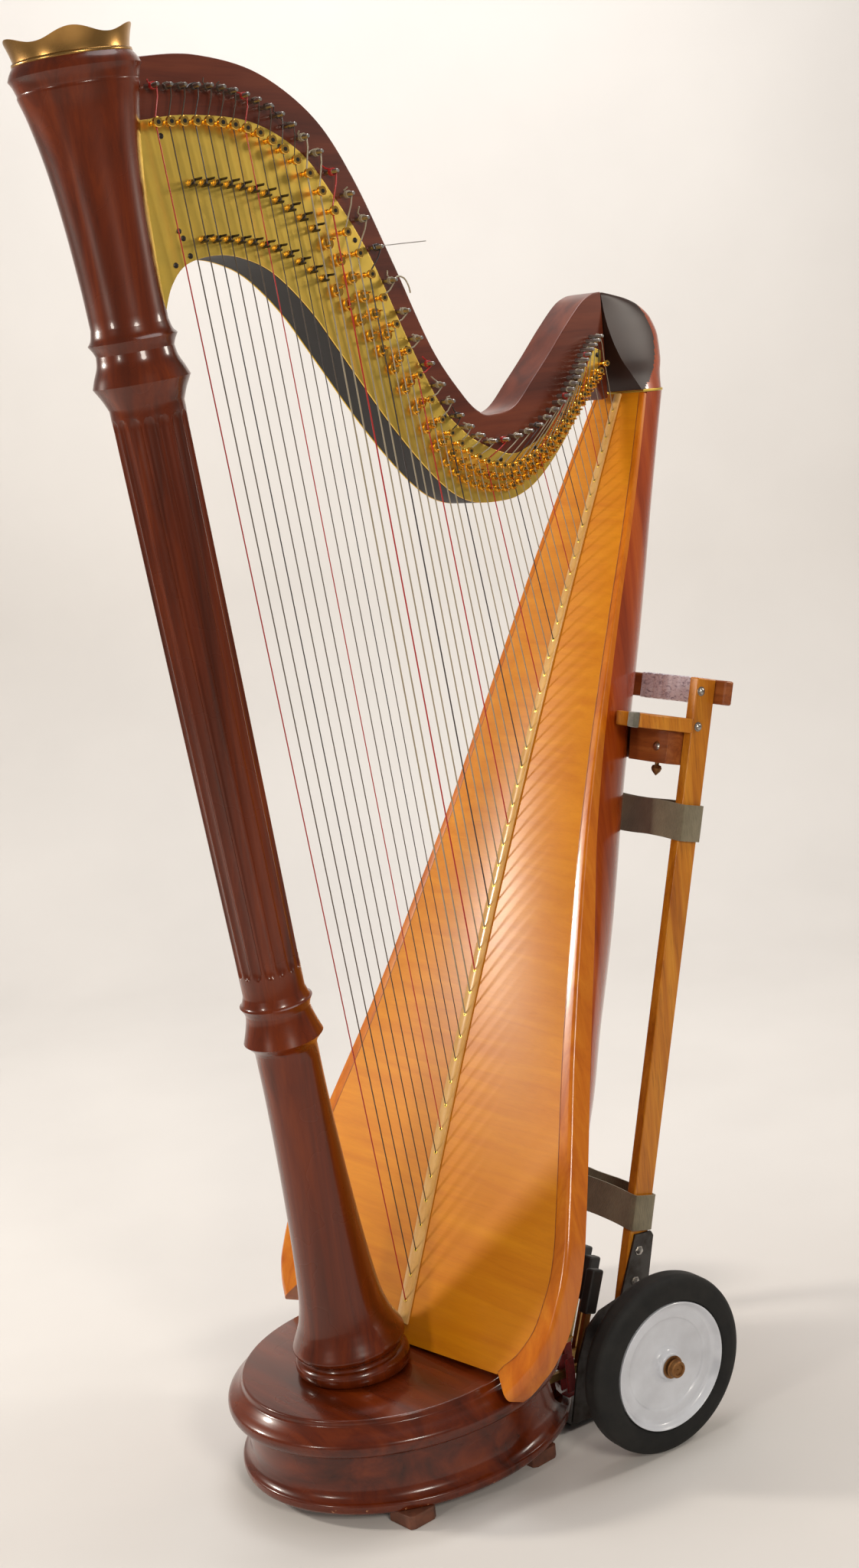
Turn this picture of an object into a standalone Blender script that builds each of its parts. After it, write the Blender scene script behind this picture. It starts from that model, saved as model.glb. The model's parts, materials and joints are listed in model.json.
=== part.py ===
"""Concert pedal harp standing against its two-wheeled cart.

The harp's own frame has +Z up, the floor at z = 0, the column over the origin at -X and the
sound box toward +X.  Lengths are metres.  Every node is one closed body, and neighbours stand
GAP apart.  An empty named harp carries the whole thing to its place over the world origin.
"""
import math

import bmesh
import bpy
import numpy as np
from mathutils import Matrix, Vector

# ---------------------------------------------------------------- dimensions
CENTRE = (0.24298, 0.00842)  # middle of the whole object, in the harp's own frame
GAP = 0.0003
DECK_Z = 0.1497            # top of the base
COL_TILT = math.radians(5.99)
COL_X = -0.003             # column's axis where it meets the deck
BORE_R = 0.018             # the pedal rods run up this bore
FLUTES, FLUTE_DEPTH = 16, 0.0036
FLUTE_LO, FLUTE_HI = 0.5850, 1.2950
CROWN_LOBES, CROWN_R, CROWN_T = 5, 0.0655, 0.0014
BOARD_X0 = 0.0745          # board's front face where it meets the deck
BOARD_A = math.radians(24.44)
BOARD_LEN, BOARD_T = 1.3798, 0.0035
BELLY = 0.0168             # how far string tension pulls the board forward
STRIP_T = 0.0030
SHELL_P, SHELL_T = 2.25, 0.0045
BAND_Z, BAND_H = 1.4061, 0.0034
NECK_HALF, NECK_X0 = 0.028, -0.12
NECK_TURN = math.radians(1.718)   # the neck drifts toward +Y along its length
PLATE_T = 0.0024
STRING_PLANE = 0.0431      # strings run this far from the neck's middle
N_STRINGS, LAST_WIRE = 47, 12
ROD_X, ROD_Z, ROD_R = 0.060, 0.090, 0.004
PEDALS = {"D": -0.140, "C": -0.105, "B": -0.070, "E": 0.048, "F": 0.081, "G": 0.114, "A": 0.147}
SLOT_W, SLOT_LO, SLOT_HI = 0.017, 0.0385, 0.0985
PIVOT_Z, PIVOT_OUT = 0.072, 0.024
LEVER_HALF, ARM_T = 0.0035, 0.0074
FOLD = math.radians(21)    # a folded arm leans back this far from upright
CART_YAW, CART_PIVOT = math.radians(-5.7), (0.40, -0.18)
POST_LEAN, POST_X = math.radians(14.4), 0.302
POST_HALF = 0.18           # outer face of a post from the cart's middle
POST_W, POST_T = 0.034, 0.017
WHEEL_R, WHEEL_T, HUB_R = 0.126, 0.042, 0.091
AXLE_X, AXLE_R, WHEEL_FACE = 0.3063, 0.008, 0.329
STRAP_W, STRAP_T = 0.0508, 0.0026

MATERIALS = {  # colour, roughness, metallic
    "mahogany": ((0.16, 0.035, 0.012), 0.22, 0.0),
    "neck_mahogany": ((0.16, 0.045, 0.022), 0.32, 0.0),
    "shell_mahogany": ((0.34, 0.075, 0.020), 0.20, 0.0),
    "spruce": ((0.60, 0.26, 0.06), 0.34, 0.0),
    "strip_maple": ((0.72, 0.42, 0.15), 0.32, 0.0),
    "edge_maple": ((0.60, 0.20, 0.02), 0.22, 0.0),
    "cart_oak": ((0.55, 0.24, 0.05), 0.35, 0.0),
    "foot_wood": ((0.16, 0.06, 0.03), 0.60, 0.0),
    "black_lacquer": ((0.020, 0.010, 0.008), 0.18, 0.0),
    "crown_brass": ((0.50, 0.30, 0.10), 0.25, 1.0),
    "plate_brass": ((0.86, 0.64, 0.20), 0.34, 1.0),
    "pedal_brass": ((0.48, 0.30, 0.10), 0.36, 1.0),
    "rusted_brass": ((0.30, 0.16, 0.06), 0.50, 1.0),
    "steel": ((0.42, 0.40, 0.38), 0.30, 1.0),
    "dull_steel": ((0.11, 0.10, 0.10), 0.50, 1.0),
    "black_rubber": ((0.025, 0.025, 0.025), 0.60, 0.0),
    "white_enamel": ((0.66, 0.68, 0.74), 0.30, 0.0),
    "grey_felt": ((0.15, 0.14, 0.11), 0.95, 0.0),
    "webbing": ((0.21, 0.17, 0.10), 0.85, 0.0),
}

SIN_B, COS_B = math.sin(BOARD_A), math.cos(BOARD_A)
UPRIGHT = Matrix.Rotation(math.pi / 2, 4, "X")   # lays a flat outline in the XZ plane
NECK = (Matrix.Translation((NECK_X0, 0, 0)) @ Matrix.Rotation(NECK_TURN, 4, "Z")
        @ Matrix.Translation((-NECK_X0, 0, 0)))
COLUMN = Matrix.Translation((COL_X, 0, DECK_Z)) @ Matrix.Rotation(-COL_TILT, 4, "Y")
CART = (Matrix.Translation((*CART_PIVOT, 0)) @ Matrix.Rotation(CART_YAW, 4, "Z")
        @ Matrix.Translation((-CART_PIVOT[0], -CART_PIVOT[1], 0)))
POST = Matrix.Translation((POST_X, 0, 0)) @ Matrix.Rotation(POST_LEAN, 4, "Y")   # in the cart's frame


# ------------------------------------------------------------- scene helpers
def clear_scene():
    for ob in list(bpy.data.objects):
        bpy.data.objects.remove(ob)


def new_collection(name):
    collection = bpy.data.collections.new(name)
    bpy.context.scene.collection.children.link(collection)
    return collection


clear_scene()
PARTS = new_collection("concert_harp_on_cart")
CUTTERS = new_collection("cutters")


def empty(name, frame, parent=None):
    ob = bpy.data.objects.new(name, None)
    PARTS.objects.link(ob)
    ob.parent = parent
    ob.matrix_basis = frame
    return ob


HARP = empty("harp", Matrix.Translation((-CENTRE[0], -CENTRE[1], 0)))
CART_FRAME = empty("cart", CART, HARP)


def material(name):
    if name in bpy.data.materials:
        return bpy.data.materials[name]
    colour, roughness, metallic = MATERIALS[name]
    mat = bpy.data.materials.new(name)
    mat.use_nodes = True
    shader = mat.node_tree.nodes["Principled BSDF"]
    shader.inputs["Base Color"].default_value = (*colour, 1.0)
    shader.inputs["Roughness"].default_value = roughness
    shader.inputs["Metallic"].default_value = metallic
    return mat


def part(name, mesh, look, frame=None, parent=HARP):
    """An object of the harp; frame is its place under its parent."""
    mesh.materials.append(material(look))
    mesh.shade_smooth()
    mesh.set_sharp_from_angle(angle=math.radians(35))
    ob = bpy.data.objects.new(name, mesh)
    PARTS.objects.link(ob)
    ob.parent = parent
    ob.matrix_basis = frame or Matrix()
    return ob


def cutter(name, mesh, frame=None, parent=HARP):
    ob = bpy.data.objects.new(name, mesh)
    CUTTERS.objects.link(ob)
    ob.parent = parent
    ob.matrix_basis = frame or Matrix()
    ob.hide_render = True
    ob.display_type = "WIRE"
    return ob


def boolean(ob, other, operation="DIFFERENCE"):
    modifier = ob.modifiers.new(operation.lower(), "BOOLEAN")
    modifier.operation = operation
    modifier.object = other


def bevel(ob, width):
    modifier = ob.modifiers.new("bevel", "BEVEL")
    modifier.width = width
    modifier.segments = 1


def solidify(ob, thickness, offset):
    modifier = ob.modifiers.new("thickness", "SOLIDIFY")
    modifier.thickness = thickness
    modifier.offset = offset
    modifier.use_even_offset = True


# --------------------------------------------------------------- mesh makers
def finish(name, bm):
    mesh = bpy.data.meshes.new(name)
    bm.to_mesh(mesh)
    bm.free()
    return mesh


def boxes(name, *corners):
    """One mesh of boxes, each from its low corner to its high corner."""
    bm = bmesh.new()
    for lo, hi in corners:
        lo, hi = Vector(lo), Vector(hi)
        bmesh.ops.create_cube(bm, size=1.0, matrix=Matrix.LocRotScale((lo + hi) / 2, None, hi - lo))
    return finish(name, bm)


def cylinders(name, radius, ends, segments):
    """One mesh of cylinders, each between its two ends."""
    bm = bmesh.new()
    for a, b in ends:
        a, b = Vector(a), Vector(b)
        turn = (b - a).to_track_quat("Z", "Y").to_matrix().to_4x4()
        bmesh.ops.create_cone(bm, cap_ends=True, segments=segments, radius1=radius, radius2=radius,
                              depth=(b - a).length, matrix=Matrix.Translation((a + b) / 2) @ turn)
    return finish(name, bm)


def flat(name, outline, lo, hi, holes=()):
    """Flat outline in XY, with holes, from z = lo to z = hi, by way of a 2D curve."""
    curve = bpy.data.curves.new(name, "CURVE")
    curve.dimensions = "2D"
    curve.fill_mode = "BOTH"
    curve.extrude = (hi - lo) / 2
    for ring in (outline, *holes):
        spline = curve.splines.new("POLY")
        spline.points.add(len(ring) - 1)
        for point, (x, y) in zip(spline.points, ring):
            point.co = (x, y, 0, 1)
        spline.use_cyclic_u = True
    ob = bpy.data.objects.new(name, curve)
    PARTS.objects.link(ob)
    bpy.context.view_layer.update()
    mesh = bpy.data.meshes.new_from_object(ob.evaluated_get(bpy.context.evaluated_depsgraph_get()))
    bpy.data.objects.remove(ob)
    bm = bmesh.new()
    bm.from_mesh(mesh)
    bmesh.ops.remove_doubles(bm, verts=bm.verts, dist=1e-6)
    bmesh.ops.translate(bm, verts=bm.verts, vec=(0, 0, (lo + hi) / 2))
    bmesh.ops.recalc_face_normals(bm, faces=bm.faces)
    return finish(name, bm)


def upright(name, outline, lo, hi, look, frame=None, parent=HARP, holes=()):
    """Part with an XZ outline between y = lo and y = hi of its frame."""
    return part(name, flat(name, outline, -hi, -lo, holes), look, (frame or Matrix()) @ UPRIGHT, parent)


def turned(name, rows, segments, look, frame, parent):
    """Lathe piece about its frame's Z from a closed profile of (height, radius) rows."""
    mesh = bpy.data.meshes.new(name)
    pairs = [(k, (k + 1) % len(rows)) for k in range(len(rows))]
    edges = [(a, b) for a, b in pairs if rows[a][1] or rows[b][1]]   # none along the axis
    mesh.from_pydata([(r, 0, z) for z, r in rows], edges, [])
    ob = part(name, mesh, look, frame, parent)
    modifier = ob.modifiers.new("turn", "SCREW")
    modifier.steps = segments
    modifier.render_steps = segments
    modifier.use_merge_vertices = True
    modifier.merge_threshold = 0.00001
    return ob


def loft(name, loops, closed=False, rings=True):
    """Skin over loops of equal length: closed ends in its start, rings close each loop."""
    n, m = len(loops[0]), len(loops)
    bm = bmesh.new()
    grid = [[bm.verts.new(p) for p in loop] for loop in loops]
    for i in range(m if closed else m - 1):
        for k in range(n if rings else n - 1):
            a, b = grid[i], grid[(i + 1) % m]
            bm.faces.new((a[k], a[(k + 1) % n], b[(k + 1) % n], b[k]))
    if rings and not closed:
        bm.faces.new(grid[0])
        bm.faces.new(grid[-1])
    bmesh.ops.recalc_face_normals(bm, faces=bm.faces)
    return finish(name, bm)


# -------------------------------------------------------------- plain curves
def spline(points, per):
    """Catmull-Rom through 2D points."""
    p = [np.array(q, float) for q in points]
    p = [2 * p[0] - p[1]] + p + [2 * p[-1] - p[-2]]
    out = []
    for a, b, c, d in zip(p, p[1:], p[2:], p[3:]):
        for t in np.arange(per) / per:
            out.append(0.5 * (2 * b + (c - a) * t + (2 * a - 5 * b + 4 * c - d) * t * t
                              + (3 * b - a - 3 * c + d) * t ** 3))
    return [tuple(map(float, q)) for q in out + [p[-2]]]


def table(rows):
    """Straight-line lookup of y for x."""
    xs, ys = zip(*rows)
    return lambda x: float(np.interp(x, xs, ys))


def ellipse(cx, a, b, n):
    return [(cx + a * math.cos(2 * math.pi * k / n), b * math.sin(2 * math.pi * k / n)) for k in range(n)]


def circle(u, v, r, n, start=0.0, points=None):
    """The first points of a circle cut into n, counted from the angle start."""
    angles = [start + 2 * math.pi * k / n for k in range(points or n)]
    return [(u + r * math.cos(a), v + r * math.sin(a)) for a in angles]


def half_superellipse(power, n):
    """Half turn as (across, out) pairs, from -1 to 1 across."""
    for k in range(n + 1):
        c, v = math.cos(math.pi * k / n), math.sin(math.pi * k / n)
        yield -math.copysign(abs(c) ** (2 / power), c), abs(v) ** (2 / power)


# ---------------------------------------------------------------------- base
BASE_ROWS = [  # z, centre x, half length, half width
    (0.0195, 0.0795, 0.2415, 0.2100), (0.0240, 0.0795, 0.2440, 0.2122), (0.0310, 0.0795, 0.2435, 0.2118),
    (0.0400, 0.0765, 0.2310, 0.2000), (0.0500, 0.0750, 0.2270, 0.1965), (0.0960, 0.0705, 0.2235, 0.1940),
    (0.1020, 0.0695, 0.2330, 0.2035), (0.1100, 0.0690, 0.2430, 0.2130), (0.1180, 0.0690, 0.2455, 0.2155),
    (0.1250, 0.0690, 0.2435, 0.2135), (0.1320, 0.0675, 0.2330, 0.2050), (0.1390, 0.0630, 0.2205, 0.1950),
    (0.1440, 0.0595, 0.2130, 0.1900), (0.1497, 0.0579, 0.2088, 0.1868)]
FEET = {"front_near": (-0.052, -0.166), "front_far": (-0.052, 0.166),
        "rear_near": (0.155, -0.178), "rear_far": (0.155, 0.178)}
FOOT_OUTLINE = [(-0.024, -0.022), (0.024, -0.022), (0.022, 0.018), (0.016, 0.022), (-0.016, 0.022),
                (-0.022, 0.018)]


def wall_x(y, cx=0.0795, a=0.2440, b=0.2122):
    """Outside of the base's rear wall at y."""
    return cx + a * math.sqrt(max(0.0, 1 - (y / b) ** 2))


def build_base():
    loops = [[(x, y, z) for x, y in ellipse(c, a, b, 48)] for z, c, a, b in BASE_ROWS]
    base = part("base", loft("base", loops), "mahogany")
    well = cylinders("cut_well", 1.0, [((0, 0, 0.0), (0, 0, DECK_Z - 0.012))], 48)
    boolean(base, cutter("cut_well", well, Matrix.LocRotScale((0.072, 0, 0), None, (0.2065, 0.1770, 1.0))))
    slots = [((0.13, y - SLOT_W / 2, SLOT_LO), (0.36, y + SLOT_W / 2, SLOT_HI)) for y in PEDALS.values()]
    boolean(base, cutter("cut_slots", boxes("cut_slots", *slots)))
    for tag, (x, y) in FEET.items():
        side = math.copysign(1, y)
        outline = [(u, side * v) for u, v in FOOT_OUTLINE]
        part("foot_" + tag, flat("foot_" + tag, outline, 0.0, 0.0192), "foot_wood",
             Matrix.Translation((x, y, 0)))


# -------------------------------------------------------------------- column
FOOT_ROWS = [  # distance along the axis, radius
    (0.0003, 0.0715), (0.0060, 0.0770), (0.0150, 0.0785), (0.0235, 0.0765), (0.0280, 0.0715),
    (0.0345, 0.0705), (0.0390, 0.0755), (0.0450, 0.0772), (0.0520, 0.0748), (0.0640, 0.0692),
    (0.0850, 0.0615), (0.1200, 0.0550), (0.2000, 0.0487),
    (0.3000, 0.0434), (0.4200, 0.0410), (0.4780, 0.0415), (0.4860, 0.0492), (0.4940, 0.0523),
    (0.5100, 0.0472), (0.5320, 0.0424), (0.5380, 0.0440), (0.5436, 0.0475), (0.5510, 0.0455),
    (0.5580, 0.0405)]
SHAFT_R = table([(0.558, 0.0400), (0.75, 0.0418), (1.0, 0.0434), (1.305, 0.0446)])
CAP_ROWS = [
    (1.3050, 0.0446), (1.3120, 0.0472), (1.3210, 0.0545), (1.3325, 0.0580), (1.3440, 0.0552),
    (1.3620, 0.0462), (1.3710, 0.0468), (1.3760, 0.0512), (1.3811, 0.0529), (1.3880, 0.0500),
    (1.3980, 0.0457), (1.4500, 0.0464), (1.5200, 0.0496), (1.5800, 0.0551), (1.6300, 0.0630),
    (1.6640, 0.0720), (1.6752, 0.0757), (1.6840, 0.0740), (1.6900, 0.0668)]
COLUMN_TOP = CAP_ROWS[-1][0]


def col_point(s, r, a):
    """Point at angle a on the column: sections tip over gradually above the foot."""
    t = COL_TILT * min(1.0, s / 0.05)
    cx, cz = COL_X - math.sin(COL_TILT) * s, DECK_Z + math.cos(COL_TILT) * s
    return (cx + r * math.cos(a) * math.cos(t), r * math.sin(a), cz + r * math.cos(a) * math.sin(t))


def build_column():
    n = FLUTES * 3
    rows = [(s, r, 0.0) for s, r in FOOT_ROWS]
    for s in (FLUTE_LO, FLUTE_LO + 0.005, FLUTE_LO + 0.020, 0.85, 1.10,
              FLUTE_HI - 0.020, FLUTE_HI - 0.005, FLUTE_HI):
        e = min(s - FLUTE_LO, FLUTE_HI - s, 0.02)
        rows.append((s, SHAFT_R(s), FLUTE_DEPTH * math.sqrt(1 - (1 - e / 0.02) ** 2)))
    rows += [(s, r, 0.0) for s, r in CAP_ROWS]
    loops = []
    for s, r, depth in rows:
        loops.append([col_point(s, r - depth * (0.0, 0.9, 0.9)[k % 3], 2 * math.pi * k / n) for k in range(n)])
    column = part("column", loft("column", loops), "mahogany")
    bore = cylinders("cut_bore", BORE_R, [((0, 0, -0.02), (0, 0, COLUMN_TOP - 0.040))], 32)
    boolean(column, cutter("cut_bore", bore, COLUMN))


def column_cutter():
    """The column's upper part grown by the gap, to fit the neck round it."""
    rows = [(1.20, 0.0446)] + [(s, r) for s, r in CAP_ROWS if s < 1.676] + [(1.80, 0.0757)]
    loops = [[col_point(s, r + GAP, 2 * math.pi * k / 60) for k in range(60)] for s, r in rows]
    return cutter("cut_column", loft("cut_column", loops))


def build_crown():
    """Scalloped sheet ring that flares from the column's top."""
    n, turn = 50, math.radians(-118)
    loops = []
    for share in (0.0, 0.5, 1.0):
        loop = []
        for k in range(n):
            a = 2 * math.pi * k / n
            height = share * (0.0175 + 0.009 * abs(math.cos(0.5 * CROWN_LOBES * (a - turn))) ** 2.6)
            loop.append(col_point(COLUMN_TOP + GAP + height, CROWN_R + 0.007 * (height / 0.0265) ** 1.4, a))
        loops.append(loop)
    bands = [loop + [loop[0]] for loop in loops]
    mesh = loft("crown", bands, rings=False)
    weld(mesh)
    solidify(part("crown", mesh, "crown_brass"), CROWN_T, 1)


def weld(mesh):
    """Join the first and last points of an open skin's loops."""
    bm = bmesh.new()
    bm.from_mesh(mesh)
    bmesh.ops.remove_doubles(bm, verts=bm.verts, dist=1e-6)
    bmesh.ops.recalc_face_normals(bm, faces=bm.faces)
    bm.to_mesh(mesh)
    bm.free()


# --------------------------------------------------------------- sound board
HALF_W = table([  # board half width along it
    (-0.0120, 0.2500), (0.0, 0.2615), (0.020, 0.2740), (0.050, 0.2875), (0.100, 0.2955),
    (0.145, 0.2950), (0.195, 0.2890), (0.240, 0.2780), (0.300, 0.2620), (0.450, 0.2195),
    (0.600, 0.1830), (0.750, 0.1500), (0.850, 0.1330), (0.950, 0.1180), (1.060, 0.1020),
    (1.170, 0.0865), (1.280, 0.0680), (1.380, 0.0495)])
MIDDLE = table([  # and how far its middle lies beyond the strings' line
    (-0.012, 0.022), (0.02, 0.021), (0.05, 0.018), (0.10, 0.013), (0.20, 0.0115), (0.85, 0.0115),
    (1.06, 0.008), (1.28, 0.002), (1.38, 0.0)])
EDGE_W = table([(-0.012, 0.050), (0.025, 0.050), (0.05, 0.040), (0.10, 0.030), (0.18, 0.0240),
                (0.30, 0.0235), (0.45, 0.0210), (0.60, 0.0170), (0.75, 0.0140), (0.95, 0.0120),
                (1.26, 0.009), (1.38, 0.008)])
EDGE_D = table([(-0.012, 0.034), (0.40, 0.034), (0.60, 0.029), (0.75, 0.019), (0.95, 0.011),
                (1.10, 0.008), (1.38, 0.006)])
STRIP_HALF = table([(0.0, 0.0125), (0.5, 0.0105), (0.9, 0.0080), (1.37, 0.0068)])
STATIONS = [0.05, 0.10, 0.145, 0.18, 0.24, 0.30, 0.40, 0.45, 0.50, 0.60, 0.75, 0.85, 0.95, 1.06, 1.17,
            1.28, BOARD_LEN]
FOOT_STATIONS = [(-0.012, 0.031), (0.0, 0.025), (0.02, 0.015)]   # outer edge, and how much higher the inner


def board_point(s, y, n):
    """s along the board, y across, n out of its front."""
    return (BOARD_X0 + s * SIN_B - n * COS_B, y, DECK_Z + s * COS_B + n * SIN_B)


def belly(s, y=0.0):
    u = min(1.0, abs(y) / (HALF_W(s) - EDGE_W(s)))
    return BELLY * math.sin(math.pi * min(1.0, max(0.0, s / BOARD_LEN))) * (1 - u * u)


def panel_row(s, lift=0.0):
    """Points across the panel; lift raises its near corner at the foot."""
    row = []
    for k in range(-4, 5):
        at = s - lift * min(0, k) / 4
        w = (HALF_W(at) - EDGE_W(at) - GAP) * k / 4
        row.append(board_point(at, MIDDLE(at) + w, belly(at, w)))
    return row


def edge_section(s, rise, side):
    """Section of the frame round the board; its inner edge stands rise higher than its outer."""
    inner = s + rise
    w, wi, d = HALF_W(s), HALF_W(inner) - EDGE_W(inner), EDGE_D(s)
    r = 0.30 * min(w - wi, d)
    section = []
    for y, n in ((w, -d), (w, -r), (w - 0.3 * r, -0.3 * r), (w - r, 0.0), (wi, 0.0), (wi, -d)):
        at = s + rise * (w - y) / (w - wi)
        section.append(board_point(at, MIDDLE(at) + side * y, n))
    return section


def build_board():
    loops = [panel_row(0.0025, 0.014)] + [panel_row(s + rise) for s, rise in FOOT_STATIONS]
    loops += [panel_row(s) for s in STATIONS]
    board = part("soundboard", loft("soundboard", loops, rings=False), "spruce")
    front = sum(p.normal.x for p in board.data.polygons) < 0
    solidify(board, BOARD_T, -1 if front else 1)
    for name, side in (("edge_near", -1), ("edge_far", 1)):
        rows = FOOT_STATIONS + [(s, 0.0) for s in STATIONS]
        part(name, loft(name, [edge_section(s, rise, side) for s, rise in rows]), "edge_maple")


# --------------------------------------------------------------------- shell
SHELL_OUT = table([  # how far the back stands behind the board's face
    (0.15, 0.188), (0.25, 0.191), (0.35, 0.190), (0.45, 0.186), (0.55, 0.183), (0.65, 0.178),
    (0.75, 0.168), (0.85, 0.155), (0.95, 0.1425), (1.05, 0.129), (1.15, 0.111), (1.25, 0.091),
    (1.35, 0.075), (1.4057, 0.0670)])
SHELL_HALF = table([
    (0.15, 0.172), (0.25, 0.194), (0.35, 0.203), (0.45, 0.195), (0.55, 0.174), (0.65, 0.159),
    (0.75, 0.143), (0.85, 0.127), (0.95, 0.114), (1.05, 0.101), (1.15, 0.088), (1.25, 0.0735),
    (1.35, 0.0575), (1.4057, 0.0488)])
SHELL_Z = [0.1500, 0.165, 0.20, 0.25, 0.30, 0.35, 0.45, 0.514, 0.60, 0.65, 0.75, 0.8325, 0.95, 1.0146,
           1.15, 1.25, 1.35, 1.4057]
SOUND_HOLES = [(0.36, 0.045, 0.085), (0.58, 0.040, 0.070), (0.77, 0.033, 0.058), (0.93, 0.026, 0.048),
               (1.07, 0.021, 0.040)]   # height, half width, half height
SHOULDER_ROWS = [  # z, front x, back x, half width, middle y, squareness
    (1.4098, 0.6425, 0.7135, 0.0492, 0.0000, 2.25), (1.4300, 0.6335, 0.7215, 0.0460, 0.0045, 2.3),
    (1.4514, 0.6265, 0.7340, 0.0405, 0.0100, 2.4), (1.4840, 0.6205, 0.7396, 0.0345, 0.0160, 2.5),
    (1.5080, 0.6190, 0.7315, 0.0310, 0.0195, 2.6), (1.5260, 0.6190, 0.7110, 0.0290, 0.0215, 2.7),
    (1.5370, 0.6190, 0.6830, 0.0278, 0.0221, 2.8), (1.5435, 0.6190, 0.6520, 0.0265, 0.0221, 2.8),
    (1.5465, 0.6190, 0.6330, 0.0245, 0.0221, 2.8)]


def board_x(z):
    return BOARD_X0 + (z - DECK_Z) * math.tan(BOARD_A)


def shell_ring(z, grow=0.0, front=None, n=14):
    """Level section of the rounded back, from one front corner to the other."""
    s = (z - DECK_Z) / COS_B
    behind = (EDGE_D(s) + 0.0009) / COS_B if front is None else front
    x = board_x(z) + behind
    depth = board_x(z) + SHELL_OUT(z) + grow - x
    width = SHELL_HALF(z) + grow
    return [(x + depth * out, MIDDLE(s) + width * across, z) for across, out in half_superellipse(SHELL_P, n)]


def build_shell():
    loops = []
    for z in SHELL_Z:
        outer, inner = shell_ring(z), shell_ring(z, grow=-SHELL_T)
        inner = [(max(x, outer[0][0]), y, z) for x, y, z in inner]
        loops.append(outer + inner[::-1])
    shell = part("shell", loft("shell", loops), "shell_mahogany")
    for k, (z, half_w, half_h) in enumerate(SOUND_HOLES, 1):
        x = board_x(z) + SHELL_OUT(z) * 0.62
        hole = cylinders("cut_sound_hole_%d" % k, 1.0, [((0, 0, 0), (0.16, 0, 0))], 16)
        frame = Matrix.LocRotScale((x, 0, z), None, (1.0, half_w, half_h))
        boolean(shell, cutter("cut_sound_hole_%d" % k, hole, frame))
    ring = shell_ring(1.4057, grow=0.0012, front=0.0, n=16)
    part("brass_band", flat("brass_band", [(x, y) for x, y, z in ring], BAND_Z, BAND_Z + BAND_H), "plate_brass")
    loops = []
    for z, front, back, half, middle, power in SHOULDER_ROWS:
        loops.append([(front + (back - front) * out, middle + half * across, z)
                      for across, out in half_superellipse(power, 16)])
    part("shoulder", loft("shoulder", loops), "black_lacquer")


def grown_back(name, grow):
    """The rounded back grown outward, to cut what rests against it."""
    loops = [shell_ring(z, grow=grow) for z in SHELL_Z if z > 0.6]
    return cutter(name, loft(name, loops))


# ---------------------------------------------------------------------- neck
NECK_TOP = [(-0.150, 1.822), (-0.103, 1.832), (-0.031, 1.836), (0.056, 1.819), (0.134, 1.771),
            (0.187, 1.701), (0.239, 1.599), (0.292, 1.489), (0.340, 1.425), (0.368, 1.401),
            (0.392, 1.396), (0.432, 1.404), (0.473, 1.439), (0.507, 1.470), (0.541, 1.503),
            (0.577, 1.534), (0.600, 1.5450), (0.6175, 1.5475)]
NECK_END = [(0.6175, 1.4020), (0.6050, 1.4000)]
PLATE_TOP = [(-0.150, 1.757), (-0.118, 1.762), (-0.053, 1.769), (0.035, 1.763), (0.102, 1.732),
             (0.145, 1.686), (0.198, 1.609), (0.250, 1.500), (0.294, 1.418), (0.326, 1.384),
             (0.358, 1.362), (0.413, 1.342), (0.450, 1.349), (0.491, 1.369), (0.570, 1.445),
             (0.594, 1.472)]
PLATE_LOW = [(0.607, 1.468), (0.604, 1.452), (0.588, 1.433), (0.556, 1.391), (0.512, 1.343),
             (0.468, 1.306), (0.430, 1.287), (0.392, 1.281), (0.334, 1.286), (0.282, 1.317),
             (0.211, 1.393), (0.134, 1.495), (0.095, 1.545), (0.049, 1.587), (0.008, 1.606),
             (-0.034, 1.612), (-0.079, 1.603), (-0.104, 1.580), (-0.118, 1.548), (-0.126, 1.515),
             (-0.150, 1.505)]
BRIDGE_Z = table([(-0.130, 1.756), (-0.090, 1.759), (-0.037, 1.7605), (0.0, 1.757), (0.032, 1.750),
                  (0.065, 1.734), (0.100, 1.708), (0.135, 1.664), (0.165, 1.618), (0.195, 1.570),
                  (0.243, 1.472), (0.286, 1.392), (0.326, 1.354), (0.366, 1.334), (0.400, 1.327),
                  (0.440, 1.335), (0.480, 1.353), (0.530, 1.393), (0.570, 1.426), (0.610, 1.456)])


def string_foot(i):
    """Where string i (1 is the longest) leaves the board, as a distance along it."""
    return 0.0611 + (i - 1) * 0.0358 - (0.0154 / 45) * (i - 1) * (i - 2) / 2


def bridge_x(i):
    return -0.107 + (i - 1) * 0.0184 - (0.0060 / 45) * (i - 1) * (i - 2) / 2


def build_neck():
    around = column_cutter()
    outline = spline(NECK_TOP, 4) + NECK_END + spline(PLATE_LOW[2:], 4)
    boolean(upright("neck", outline, -NECK_HALF, NECK_HALF, "neck_mahogany", NECK), around)
    outline = spline(PLATE_TOP, 2) + spline(PLATE_LOW, 2)
    inside, outside = NECK_HALF + GAP, NECK_HALF + GAP + PLATE_T
    left = upright("plate_left", outline, -outside, -inside, "plate_brass", NECK)
    right = upright("plate_right", outline, inside, outside, "plate_brass", NECK)
    ends = []
    for i in range(1, N_STRINGS + 1):
        x, z = bridge_x(i), BRIDGE_Z(bridge_x(i))
        ends.append(((x, -outside + 0.5 * PLATE_T, z), (x, -outside - 0.0150, z)))
    boolean(left, cutter("join_bridge_pins", cylinders("join_bridge_pins", 0.0026, ends, 6), NECK), "UNION")
    boolean(left, around)
    boolean(right, around)


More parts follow.
